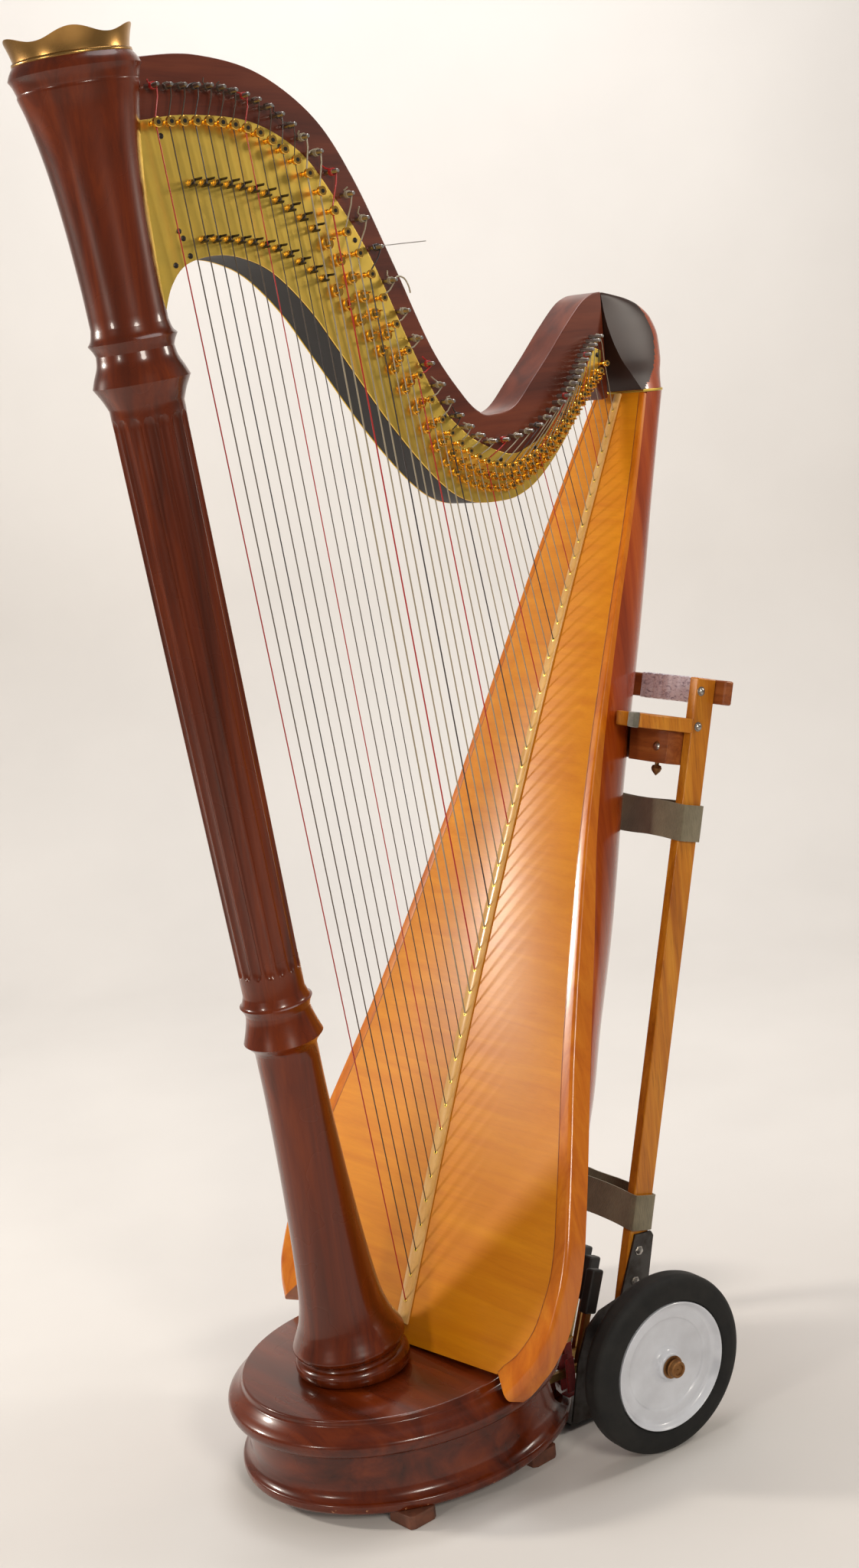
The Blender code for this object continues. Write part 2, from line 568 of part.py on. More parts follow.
def build_strings():
    """Centre strip of the board with the strings standing on it, as one body."""
    bm = bmesh.new()
    feet = [string_foot(i) for i in range(1, N_STRINGS + 1)]
    cuts = [0.030] + [0.5 * (a + b) for a, b in zip(feet, feet[1:])] + [BOARD_LEN - 0.0010]
    rails = []
    for s in cuts:
        w, low = STRIP_HALF(s), belly(s) + GAP
        section = [(-w, low), (w, low), (w, low + STRIP_T), (-w, low + STRIP_T)]
        rails.append([bm.verts.new(board_point(s, y, n)) for y, n in section])
    for a, b in zip(rails, rails[1:]):
        for k in (0, 1, 3):
            bm.faces.new((a[k], a[(k + 1) % 4], b[(k + 1) % 4], b[k]))
    bm.faces.new(rails[0])
    bm.faces.new(rails[-1])
    square = ((-1, -1), (1, -1), (1, 1), (-1, 1))
    for i, (a, b) in enumerate(zip(rails, rails[1:]), 1):
        s, thin = feet[i - 1], max(0, i - LAST_WIRE) / (N_STRINGS - LAST_WIRE)
        r, top = 0.0009 - 0.0005 * thin, GAP + STRIP_T
        foot = Vector(board_point(s, 0, belly(s) + top))
        head = NECK @ Vector((bridge_x(i), -STRING_PLANE, BRIDGE_Z(bridge_x(i))))
        head -= (head - foot).normalized() * 0.0042
        inner = [bm.verts.new(board_point(s + 1.3 * u * r, v * r, belly(s + u * r) + top)) for u, v in square]
        tip = [bm.verts.new(head + Vector((u * r, v * r, 0))) for u, v in square]
        outer = (a[3], b[3], b[2], a[2])
        for k in range(4):
            m = (k + 1) % 4
            bm.faces.new((outer[k], outer[m], inner[m], inner[k]))
            bm.faces.new((inner[k], inner[m], tip[m], tip[k]))
        bm.faces.new(tip)
    bmesh.ops.recalc_face_normals(bm, faces=bm.faces)
    part("string_band", finish("string_band", bm), "strip_maple")


# -------------------------------------------------------------------- pedals
def build_pedals():
    rod = cylinders("pedal_rod", ROD_R, [((0, -0.166, 0), (0, 0.166, 0))], 16)
    part("pedal_rod", rod, "steel", Matrix.Translation((ROD_X, 0.006, ROD_Z)))
    for tag, y in PEDALS.items():
        reach = Vector((wall_x(y) + PIVOT_OUT - ROD_X, 0, PIVOT_Z - ROD_Z))
        length, dip = reach.length, math.atan2(reach.z, reach.x)
        frame = Matrix.Translation((ROD_X, y, ROD_Z)) @ Matrix.Rotation(-dip, 4, "Y")
        tip = circle(length, 0, 0.0058, 10, math.radians(-80), 5)
        eye = circle(0, 0, 0.0085, 14, math.radians(30), 12)
        outline = tip + [(length - 0.03, 0.0058), (0.03, 0.0060)] + eye + [(0.03, -0.0060)]
        hole = circle(0, 0, ROD_R + 0.0001, 16)
        lever = upright("lever_" + tag, outline, -LEVER_HALF, LEVER_HALF, "pedal_brass", frame, holes=[hole])
        ends = [((length, LEVER_HALF - 0.001, 0), (length, LEVER_HALF + 0.0085, 0))]
        stud = cutter("join_stud_" + tag, cylinders("join_stud_" + tag, 0.0028, ends, 8), frame)
        boolean(lever, stud, "UNION")
        build_arm(tag, lever, length, dip)


def build_arm(tag, lever, length, dip):
    """Folding arm on the lever's stud, and the rubber cap over its end."""
    turn = Matrix.Translation((length, 0, 0)) @ Matrix.Rotation(FOLD + dip, 4, "Y")
    frame = UPRIGHT.inverted() @ turn
    lo, hi = LEVER_HALF + 0.0006, LEVER_HALF + 0.0006 + ARM_T
    eye = [(-v, u) for u, v in circle(0, 0, 0.0065, 14, math.radians(50), 11)]
    outline = eye + [(0.0050, 0.040), (0.0060, 0.118), (-0.0060, 0.118), (-0.0050, 0.040)]
    arm = upright("arm_" + tag, outline, lo, hi, "pedal_brass", frame, lever, [circle(0, 0, 0.0034, 8)])
    cap = part("cap_" + tag, boxes("cap_" + tag, ((-0.0105, lo - 0.0045, 0.074), (0.0115, hi + 0.0045, 0.138))),
               "black_rubber", UPRIGHT.inverted(), arm)
    bevel(cap, 0.0022)
    pocket = boxes("cut_cap_" + tag, ((-0.0066, lo - 0.0004, 0.060), (0.0066, hi + 0.0004, 0.119)))
    boolean(cap, cutter("cut_cap_" + tag, pocket, UPRIGHT.inverted(), arm))


# ---------------------------------------------------------------------- cart
PLATE_OUTLINE = [(0.2360, 0.0120), (0.2950, 0.0045), (0.3450, 0.0300), (0.3700, 0.0900), (0.4065, 0.2420),
                 (0.4030, 0.2495), (0.3740, 0.2530), (0.3400, 0.1700), (0.3000, 0.1620), (0.2750, 0.1440),
                 (0.2560, 0.1000)]
CRADLE_ARM = [(0.069, 0.128), (0.069, 0.148), (0.050, 0.166), (0.0006, 0.182)]


def cart(x, y, z):
    return tuple(CART @ Vector((x, y, z)))


def build_wheel(tag, side):
    """Axle stub, hub, tyre and nut on one side of the cart."""
    spot = Matrix.Translation((AXLE_X, 0, WHEEL_R))
    axis = spot @ Matrix.Rotation(-side * math.pi / 2, 4, "X")   # its Z points outward
    face, back = WHEEL_FACE, WHEEL_FACE - WHEEL_T
    axle = [(face + 0.004, 0.0), (face + 0.004, AXLE_R), (back - 0.008, AXLE_R), (back - 0.008, 0.016),
            (POST_HALF + 0.0046, 0.016), (POST_HALF + 0.0046, 0.0)]
    turned("cart_axle_" + tag, axle, 20, "dull_steel", axis, CART_FRAME)
    middle = face - WHEEL_T / 2
    wheel = axis @ Matrix.Translation((0, 0, middle))
    hub = [(face - 0.0015, 0.0083), (face - 0.0015, 0.017), (face - 0.012, 0.020), (face - 0.015, 0.060),
           (face - 0.011, 0.066), (face - 0.010, 0.078), (face - 0.0015, 0.0885), (face - 0.0010, HUB_R - 0.0006),
           (face - 0.006, HUB_R - 0.001), (back + 0.002, HUB_R - 0.001), (back + 0.002, 0.0865),
           (face - 0.022, 0.078), (face - 0.022, 0.022), (back - 0.004, 0.016), (back - 0.004, 0.0083)]
    turned("cart_hub_" + tag, [(z - middle, r) for z, r in hub], 30, "white_enamel", wheel, CART_FRAME)
    seat, rim = HUB_R - 0.001 + GAP, WHEEL_R
    tyre = [(face - 0.003, seat), (face, seat + 0.005), (face - 0.001, rim - 0.012), (face - 0.011, rim),
            (back + 0.011, rim), (back + 0.001, rim - 0.012), (back, seat + 0.005), (back + 0.003, seat)]
    turned("cart_tyre_" + tag, [(z - middle, r) for z, r in tyre], 30, "black_rubber", wheel, CART_FRAME)
    nut = cylinders("cart_nut_" + tag, 0.0145, [((0, 0, face + 0.0045), (0, 0, face + 0.0135))], 6)
    part("cart_nut_" + tag, nut, "rusted_brass", axis, CART_FRAME)


def build_cart():
    inner = POST_HALF - POST_T
    for tag, side in (("near", -1), ("far", 1)):
        y0, y1 = sorted((side * inner, side * POST_HALF))
        post = boxes("cart_post_" + tag, ((0, y0, 0.060), (POST_W, y1, 1.0525)))
        part("cart_post_" + tag, post, "cart_oak", POST, CART_FRAME)
        y0, y1 = sorted((side * (POST_HALF + GAP), side * (POST_HALF + GAP + 0.0040)))
        upright("cart_plate_" + tag, PLATE_OUTLINE, y0, y1, "dull_steel", parent=CART_FRAME)
        build_wheel(tag, side)
    end = POST_HALF + 0.019
    handle = boxes("cart_handle", ((POST_W + GAP, -end, 1.0185), (POST_W + 0.0165, end, 1.0525)))
    part("cart_handle", handle, "cart_oak", POST, CART_FRAME)
    toe = boxes("cart_toe", ((0.236, 0.0003 - POST_HALF, 0.0060), (0.300, POST_HALF - 0.0003, 0.0095)))
    part("cart_toe", toe, "dull_steel", parent=CART_FRAME)
    build_cradle(inner - 0.0006)
    build_strap("cart_strap_upper", 0.826, 0.030, 0.016)
    build_strap("cart_strap_lower", 0.270, 0.0, 0.003)


def build_cradle(inner):
    """Notched board and block that hold the harp's back, with a felt on each arm."""
    clear = grown_back("cut_cradle_back", 0.0055)
    half = [(-f, y) for f, y in CRADLE_ARM + [(0.0006, inner), (-0.034, inner)]]
    outline = [(x, -y) for x, y in half] + half[::-1]
    board = part("cart_cradle", flat("cart_cradle", outline, 0.975, 0.995), "cart_oak", POST, CART_FRAME)
    block = boxes("cart_crosspiece", ((-0.026, -inner, 0.929), (0.034, inner, 0.9747)))
    block = part("cart_crosspiece", block, "cart_oak", POST, CART_FRAME)
    boolean(board, clear)
    boolean(block, clear)
    touching = grown_back("cut_felt_back", 0.0005)
    for tag, side in (("near", -1), ("far", 1)):
        loops = []
        for x, y0, y1, z0, z1 in ((-0.0693, 0.1325, 0.1485, 0.974, 0.996), (-0.0790, 0.1335, 0.1470, 0.975, 0.995)):
            loops.append([(x, side * y, z) for y, z in ((y0, z0), (y1, z0), (y1, z1), (y0, z1))])
        felt = part("cart_felt_" + tag, loft("cart_felt_" + tag, loops), "grey_felt", POST, CART_FRAME)
        boolean(felt, touching)


def build_strap(name, height, sag, slack):
    """Webbing round both posts: the front run sags by sag, the back run hangs out by slack."""
    o, front, back = POST_HALF + 0.0055, 0.0012, -POST_W - 0.0012
    half = [(front - sag * math.cos(math.pi * y / 0.26), y) for y in (0.0, 0.03, 0.06, 0.09, 0.12)]
    half += [(front, 0.150), (front + 0.001, o - 0.012), (front, o - 0.003), (front - 0.002, o),
             (-0.5 * POST_W, o + 0.001), (back + 0.002, o), (back, o - 0.003), (back - 0.001, o - 0.012),
             (back - 0.75 * slack, 0.10), (back - slack, 0.0)]
    path = half + [(f, -y) for f, y in half[-2:0:-1]]
    loops = [[(-f, y, height), (-f, y, height + STRAP_W)] for f, y in path]
    mesh = loft(name, loops + loops[:1], rings=False)
    weld(mesh)
    solidify(part(name, mesh, "webbing", POST, CART_FRAME), STRAP_T, 1)


build_base()
build_column()
build_crown()
build_board()
build_shell()
build_neck()
build_strings()
build_pedals()
build_cart()
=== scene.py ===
"""Looks of the concert pedal harp and the hand cart it leans on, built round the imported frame.

Lengths are metres.  Points are worked out in the harp's own frame, where the column stands
over the origin, and OFFSET carries them to the row frame.
"""
import json
import math
import random

import bmesh
import bpy
import numpy as np
from mathutils import Matrix, Vector

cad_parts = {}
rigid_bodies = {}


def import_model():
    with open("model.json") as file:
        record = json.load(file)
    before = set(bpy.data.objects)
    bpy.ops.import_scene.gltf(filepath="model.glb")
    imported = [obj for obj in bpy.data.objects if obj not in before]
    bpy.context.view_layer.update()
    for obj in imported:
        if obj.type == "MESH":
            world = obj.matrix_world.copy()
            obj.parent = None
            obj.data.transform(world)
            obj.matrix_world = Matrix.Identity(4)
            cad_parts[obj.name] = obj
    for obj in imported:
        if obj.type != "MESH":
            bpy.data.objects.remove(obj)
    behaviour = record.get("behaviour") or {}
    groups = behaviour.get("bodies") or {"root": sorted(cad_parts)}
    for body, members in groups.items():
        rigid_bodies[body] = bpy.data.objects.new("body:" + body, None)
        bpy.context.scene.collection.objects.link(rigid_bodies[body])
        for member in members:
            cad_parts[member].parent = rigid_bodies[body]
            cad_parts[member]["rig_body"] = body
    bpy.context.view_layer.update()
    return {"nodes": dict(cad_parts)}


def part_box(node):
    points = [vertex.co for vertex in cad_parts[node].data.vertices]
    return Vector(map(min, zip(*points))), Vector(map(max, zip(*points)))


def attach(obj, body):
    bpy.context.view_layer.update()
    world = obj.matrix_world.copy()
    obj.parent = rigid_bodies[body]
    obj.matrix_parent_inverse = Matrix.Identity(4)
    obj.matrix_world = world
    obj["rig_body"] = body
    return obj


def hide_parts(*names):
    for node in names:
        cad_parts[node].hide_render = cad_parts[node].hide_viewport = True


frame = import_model()
NODES = frame["nodes"]
RNG = random.Random(7)

# ------------------------------------------------------------------ dimensions
DECK_Z = 0.1497                     # top of the base
COL_TILT, COL_X = math.radians(5.99), -0.003
BOARD_X0, BOARD_A, BOARD_LEN, BELLY = 0.0745, math.radians(24.44), 1.3798, 0.0168
BAND_Z, SHELL_TOP, KNEE_Z0, KNEE_Z1 = 1.4061, 1.4057, 1.4098, 1.5465
NECK_HALF, NECK_TURN, NECK_X0 = 0.028, math.radians(1.718), -0.12
PLATE_T = 0.0024
PLATE_FACE = NECK_HALF + 0.0003 + PLATE_T   # outer face of a brass plate, from the neck's middle
STRING_PLANE = 0.0431                # strings run this far from the neck's middle
N_STRINGS, LAST_WIRE = 47, 12        # the lowest twelve are wound
FIRST_STOP, LAST_FORK, LAST_LARGE = 3, 13, 26   # strings with a fork or disc; the last with each larger kind
ROD_X, ROD_Z, ROD_MID_Y = 0.06, 0.09, 0.006
PEDALS = {"D": -0.14, "C": -0.105, "B": -0.07, "E": 0.048, "F": 0.081, "G": 0.114, "A": 0.147}
PIVOT_Z, PIVOT_OUT, PEDAL_HALF = 0.072, 0.024, 0.0035
CART_YAW, CART_PIVOT = math.radians(-5.7), (0.4, -0.18)
POST_LEAN, POST_HALF, POST_W, POST_FOOT_X = math.radians(14.4), 0.18, 0.034, 0.302
WHEEL_R, WHEEL_T, HUB_R, AXLE_X, WHEEL_FACE = 0.126, 0.042, 0.091, 0.3063, 0.329
STRAP_W = 0.0508

SIN_B, COS_B = math.sin(BOARD_A), math.cos(BOARD_A)
ROD_LOW, ROD_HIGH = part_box("pedal_rod")
OFFSET = (ROD_LOW + ROD_HIGH) / 2 - Vector((ROD_X, ROD_MID_Y, ROD_Z))


# --------------------------------------------------------------- plain geometry
def smooth(rows):
    """Monotone cubic through (x, y) rows, as a function."""
    x, y = np.array(rows, float).T
    h, d = np.diff(x), np.diff(y) / np.diff(x)
    m = np.zeros(len(x))
    m[0], m[-1] = d[0], d[-1]
    for i in range(1, len(d)):
        if d[i - 1] * d[i] > 0:
            m[i] = 3 * (h[i - 1] + h[i]) / ((2 * h[i] + h[i - 1]) / d[i - 1] + (h[i] + 2 * h[i - 1]) / d[i])

    def at(q):
        i = int(np.clip(np.searchsorted(x, q) - 1, 0, len(d) - 1))
        t = min(1.0, max(0.0, (q - x[i]) / h[i]))
        return float((1 + 2 * t) * (1 - t) ** 2 * y[i] + t * (1 - t) ** 2 * h[i] * m[i]
                     + t * t * (3 - 2 * t) * y[i + 1] + t * t * (t - 1) * h[i] * m[i + 1])
    return at


def mm(*rows):
    """A table written in millimetres, as metres."""
    return [tuple(v / 1000 for v in row) for row in rows]


def catmull_rom(a, b, c, d, per):
    """The points from b up to c, without c."""
    return [0.5 * (2 * b + (c - a) * t + (2 * a - 5 * b + 4 * c - d) * t * t + (3 * b - a - 3 * c + d) * t ** 3)
            for t in (k / per for k in range(per))]


def spline(points, per=6):
    """Smooth open curve through the points."""
    p = [np.array(q, float) for q in points]
    p = [2 * p[0] - p[1]] + p + [2 * p[-1] - p[-2]]
    out = [q for span in zip(p, p[1:], p[2:], p[3:]) for q in catmull_rom(*span, per)]
    return [tuple(map(float, q)) for q in out + [p[-2]]]


def closed_spline(points, per):
    p = [np.array(q, float) for q in points]
    n = len(p)
    return [q for k in range(n) for q in catmull_rom(p[k - 1], p[k], p[(k + 1) % n], p[(k + 2) % n], per)]


def runs(*pieces, per=5):
    """Profile of smooth stretches with crisp corners between; each starts where the last one ends."""
    out, last = [], []
    for piece in pieces:
        out += spline(last + piece, per)
        last = piece[-1:]
    return out


def angles(n):
    return [2 * math.pi * k / n for k in range(n)]


def steps(lo, hi, n):
    return [lo + (hi - lo) * k / n for k in range(n + 1)]


def superellipse(p, n):
    """Half turn of a superellipse as (across, out) pairs, from -1 to 1 across."""
    for k in range(n + 1):
        q = math.pi * k / n
        c, v = math.cos(q), math.sin(q)
        yield -math.copysign(abs(c) ** (2 / p), c), abs(v) ** (2 / p)


class Build:
    """Vertices and faces of one piece, in the harp's own frame."""

    def __init__(self):
        self.verts, self.faces, self.slots = [], [], []

    def add(self, verts, faces):
        k = len(self.verts)
        self.verts += [tuple(v) for v in verts]
        self.faces += [[k + i for i in f] for f in faces]
        self.slots += [0] * len(faces)
        return self

    def skin(self, loops, closed=False, caps=True):
        """Surface over loops of equal length."""
        n, m = len(loops[0]), len(loops)
        faces = []
        for i in range(m if closed else m - 1):
            for k in range(n):
                a, b = i * n + k, i * n + (k + 1) % n
                c, d = (i + 1) % m * n + (k + 1) % n, (i + 1) % m * n + k
                faces.append((a, b, c, d))
        if caps and not closed:
            faces += [tuple(range(n)), tuple((m - 1) * n + k for k in range(n))]
        return self.add([p for loop in loops for p in loop], faces)

    def tube(self, points, r, n=8):
        """Round bar of radius r along points."""
        pts = [Vector(p) for p in points]
        up, loops = None, []
        for i, p in enumerate(pts):
            d = (pts[min(i + 1, len(pts) - 1)] - pts[max(i - 1, 0)]).normalized()
            up = d.orthogonal() if up is None else (up - d * up.dot(d))
            up.normalize()
            side = d.cross(up)
            loops.append([p + r * (math.cos(a) * up + math.sin(a) * side) for a in angles(n)])
        return self.skin(loops)

    def turned(self, rows, at, axis, n=24, closed=False):
        """Lathe: rows are (distance along axis, radius)."""
        at, z = Vector(at), Vector(axis).normalized()
        x = z.orthogonal().normalized()
        y = z.cross(x)
        loops = [[at + z * s + r * (math.cos(a) * x + math.sin(a) * y) for a in angles(n)] for s, r in rows]
        return self.skin(loops, closed=closed)

    def bar(self, centre, size, axes=((1, 0, 0), (0, 1, 0), (0, 0, 1))):
        """Box of that size about a centre, along the given axes."""
        c = Vector(centre)
        e = [Vector(a).normalized() * (0.5 * s) for a, s in zip(axes, size)]
        loops = [[c + w * e[2] + u * e[0] + v * e[1] for u, v in ((-1, -1), (1, -1), (1, 1), (-1, 1))]
                 for w in (-1, 1)]
        return self.skin(loops)

    def make(self, name, materials, body="root", slot=None, replaces=None, angle=35, bevel=0.0):
        """The finished piece, riding on its body."""
        mesh = bpy.data.meshes.new(name)
        mesh.from_pydata([Vector(v) + OFFSET for v in self.verts], [], self.faces)
        for material in materials if isinstance(materials, list) else [materials]:
            mesh.materials.append(material)
        mesh.polygons.foreach_set("material_index", self.slots)
        bm = bmesh.new()
        bm.from_mesh(mesh)
        bmesh.ops.remove_doubles(bm, verts=bm.verts, dist=1e-6)
        bmesh.ops.recalc_face_normals(bm, faces=bm.faces)
        bm.to_mesh(mesh)
        bm.free()
        return dress(link(name, mesh), body, replaces, angle, bevel)


def link(name, data):
    """A new object in the scene."""
    ob = bpy.data.objects.new(name, data)
    bpy.context.scene.collection.objects.link(ob)
    return ob


def shade(mesh, angle=35):
    """Smooth shading with the edges past that angle kept sharp."""
    mesh.shade_smooth()
    mesh.set_sharp_from_angle(angle=math.radians(angle))


def dress(ob, body, replaces, angle, bevel):
    """Shading, edge rounding and frame calls that every piece gets."""
    shade(ob.data, angle)
    if bevel:
        mod = ob.modifiers.new("edges", "BEVEL")
        mod.width, mod.segments, mod.limit_method = bevel, 3, "ANGLE"
        mod.angle_limit, mod.harden_normals = math.radians(32), True
    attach(ob, body)
    if replaces:
        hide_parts(replaces)
    return ob


def cut(ob, tool):
    """Take the Build called tool out of the piece."""
    cutter = tool.make("cutter", HOLE_SHADE)
    mod = ob.modifiers.new("cut", "BOOLEAN")
    mod.object, mod.operation = cutter, "DIFFERENCE"
    ob.data = bpy.data.meshes.new_from_object(ob.evaluated_get(bpy.context.evaluated_depsgraph_get()))
    ob.modifiers.clear()
    shade(ob.data)
    bpy.data.objects.remove(cutter)


def carry(node, material, bevel):
    """A CAD node's own shape as a piece with rounded edges."""
    source = NODES[node]
    bm = bmesh.new()
    bm.from_mesh(source.data)
    bmesh.ops.remove_doubles(bm, verts=bm.verts, dist=2e-5)
    bmesh.ops.dissolve_limit(bm, angle_limit=math.radians(1.0), verts=bm.verts, edges=bm.edges)
    bmesh.ops.recalc_face_normals(bm, faces=bm.faces)
    mesh = bpy.data.meshes.new(node + "_shown")
    bm.to_mesh(mesh)
    bm.free()
    mesh.materials.clear()
    mesh.materials.append(material)
    return dress(link(node + "_shown", mesh), source["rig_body"], node, 32, bevel)


# -------------------------------------------------------------- shared geometry
HALF_W = smooth(mm(  # board half width along it
    (-12, 250), (0, 261.5), (20, 274), (50, 287.5), (100, 295.5), (145, 295), (195, 289), (240, 278),
    (300, 262), (450, 219.5), (600, 183), (750, 150), (850, 133), (950, 118), (1060, 102), (1170, 86.5),
    (1280, 68), (1380, 49.5)))
MIDDLE = smooth(mm(  # and how far its middle lies beyond the strings' line
    (-12, 22), (20, 21), (50, 18), (100, 13), (200, 11.5), (850, 11.5), (1060, 8), (1280, 2), (1380, 0)))
EDGE_W = smooth(mm((-12, 50), (25, 50), (50, 40), (100, 30), (180, 24), (300, 23.5), (450, 21), (600, 17),
                   (750, 14), (950, 12), (1260, 9), (1380, 8)))
EDGE_D = smooth(mm((-12, 34), (400, 34), (600, 29), (750, 19), (950, 11), (1100, 8), (1380, 6)))
RAKE = smooth(mm((-12, 31), (20, 15), (50, 0), (1380, 0)))
SHELL_OUT = smooth(mm(  # how far the back stands behind the board's face
    (150, 188), (250, 191), (350, 190), (450, 186), (550, 183), (650, 178), (750, 168), (850, 155),
    (950, 142.5), (1050, 129), (1150, 111), (1250, 91), (1350, 75), (1405.7, 67)))
SHELL_HALF = smooth(mm((150, 172), (250, 194), (350, 203), (450, 195), (550, 174), (650, 159), (750, 143),
                       (850, 127), (950, 114), (1050, 101), (1150, 88), (1250, 73.5), (1350, 57.5),
                       (1405.7, 48.8)))
SHELL_P, SHELL_T = 2.25, 0.0045      # squareness of the back, and its wall
STRIP_W = smooth(mm((0, 12.5), (500, 10.5), (900, 8), (1370, 6.8)))
SOUND_HOLES = mm((360, 45, 85), (580, 40, 70), (770, 33, 58), (930, 26, 48), (1070, 21, 40))
NECK_TOP = mm((-150, 1822), (-103, 1832), (-31, 1836), (56, 1819), (134, 1771), (187, 1701), (239, 1599),
              (292, 1489), (340, 1425), (368, 1401), (392, 1396), (432, 1404), (473, 1439), (507, 1470),
              (541, 1503), (577, 1534), (600, 1545), (617.5, 1547.5))
PLATE_TOP = mm((-150, 1757), (-118, 1762), (-53, 1769), (35, 1763), (102, 1732), (145, 1686), (198, 1609),
               (250, 1500), (294, 1418), (326, 1384), (358, 1362), (413, 1342), (450, 1349), (491, 1369),
               (570, 1445), (594, 1472))
PLATE_LOW = mm((607, 1468), (604, 1452), (588, 1433), (556, 1391), (512, 1343), (468, 1306), (430, 1287),
               (392, 1281), (334, 1286), (282, 1317), (211, 1393), (134, 1495), (95, 1545), (49, 1587),
               (8, 1606), (-34, 1612), (-79, 1603), (-104, 1580), (-118, 1548), (-126, 1515), (-150, 1505))
BRIDGE = smooth(mm((-130, 1756), (-90, 1759), (-37, 1760.5), (0, 1757), (32, 1750), (65, 1734), (100, 1708),
                   (135, 1664), (165, 1618), (195, 1570), (243, 1472), (286, 1392), (326, 1354), (366, 1334),
                   (400, 1327), (440, 1335), (480, 1353), (530, 1393), (570, 1426), (610, 1456)))
TUNING = [(1, -0.105, 1.798), (5, -0.029, 1.799), (9, 0.038, 1.785), (13, 0.104, 1.745), (17, 0.186, 1.65),
          (20, 0.239, 1.536), (23, 0.287, 1.441), (26, 0.331, 1.384), (28, 0.378, 1.361), (30, 0.433, 1.368),
          (34, 0.511, 1.406), (38, 0.546, 1.442), (41, 0.567, 1.467), (44, 0.59, 1.487)]
TUNING_X = smooth([(i, x) for i, x, z in TUNING])
TUNING_Z = smooth([(i, z) for i, x, z in TUNING])


def board_point(s, y, n):
    """s along the board, y across, n out of its front."""
    return Vector((BOARD_X0 + s * SIN_B - n * COS_B, y, DECK_Z + s * COS_B + n * SIN_B))


def board_x(z):
    return BOARD_X0 + (z - DECK_Z) * SIN_B / COS_B


def belly(s, y=0.0):
    u = min(1.0, abs(y) / (HALF_W(s) - EDGE_W(s)))
    return BELLY * math.sin(math.pi * min(1.0, max(0.0, s / BOARD_LEN))) * (1 - u * u)


def col_point(s, r, a):
    t = COL_TILT * min(1.0, s / 0.05)
    cx, cz = COL_X - math.sin(COL_TILT) * s, DECK_Z + math.cos(COL_TILT) * s
    return Vector((cx + r * math.cos(a) * math.cos(t), r * math.sin(a), cz + r * math.cos(a) * math.sin(t)))


def skew(x, z, w):
    """Neck frame: w is the distance from the neck's own middle plane."""
    c, s = math.cos(NECK_TURN), math.sin(NECK_TURN)
    return Vector((NECK_X0 + (x - NECK_X0) * c - w * s, (x - NECK_X0) * s + w * c, z))


def string_foot(i):
    return 0.0611 + (i - 1) * 0.0358 - (0.0154 / 45) * (i - 1) * (i - 2) / 2


def bridge_spot(i):
    x = -0.107 + (i - 1) * 0.0184 - (0.006 / 45) * (i - 1) * (i - 2) / 2
    return x, BRIDGE(x)


def tuning_spot(i):
    t = i if i <= LAST_LARGE else LAST_LARGE + (i - LAST_LARGE) * 18 / 21
    return TUNING_X(t), TUNING_Z(t)


def wall_x(y, cx=0.0795, a=0.244, b=0.2122):
    return cx + a * math.sqrt(max(0.0, 1 - (y / b) ** 2))


def cart(x, y, z):
    """Cart frame to harp frame: the cart stands a little askew."""
    c, s = math.cos(CART_YAW), math.sin(CART_YAW)
    u, v = x - CART_PIVOT[0], y - CART_PIVOT[1]
    return Vector((CART_PIVOT[0] + c * u - s * v, CART_PIVOT[1] + s * u + c * v, z))


def lean(f, y, h):
    """f forward of the posts' front faces, h up along them."""
    c, s = math.cos(POST_LEAN), math.sin(POST_LEAN)
    return cart(POST_FOOT_X - f * c + h * s, y, h * c + f * s)


# -------------------------------------------------------------------- materials
def rgb(r, g, b):
    """Screen colour, 0 to 255, as linear light."""
    return tuple(((c / 255 + 0.055) / 1.055) ** 2.4 if c > 10 else c / 3294.6 for c in (r, g, b)) + (1.0,)


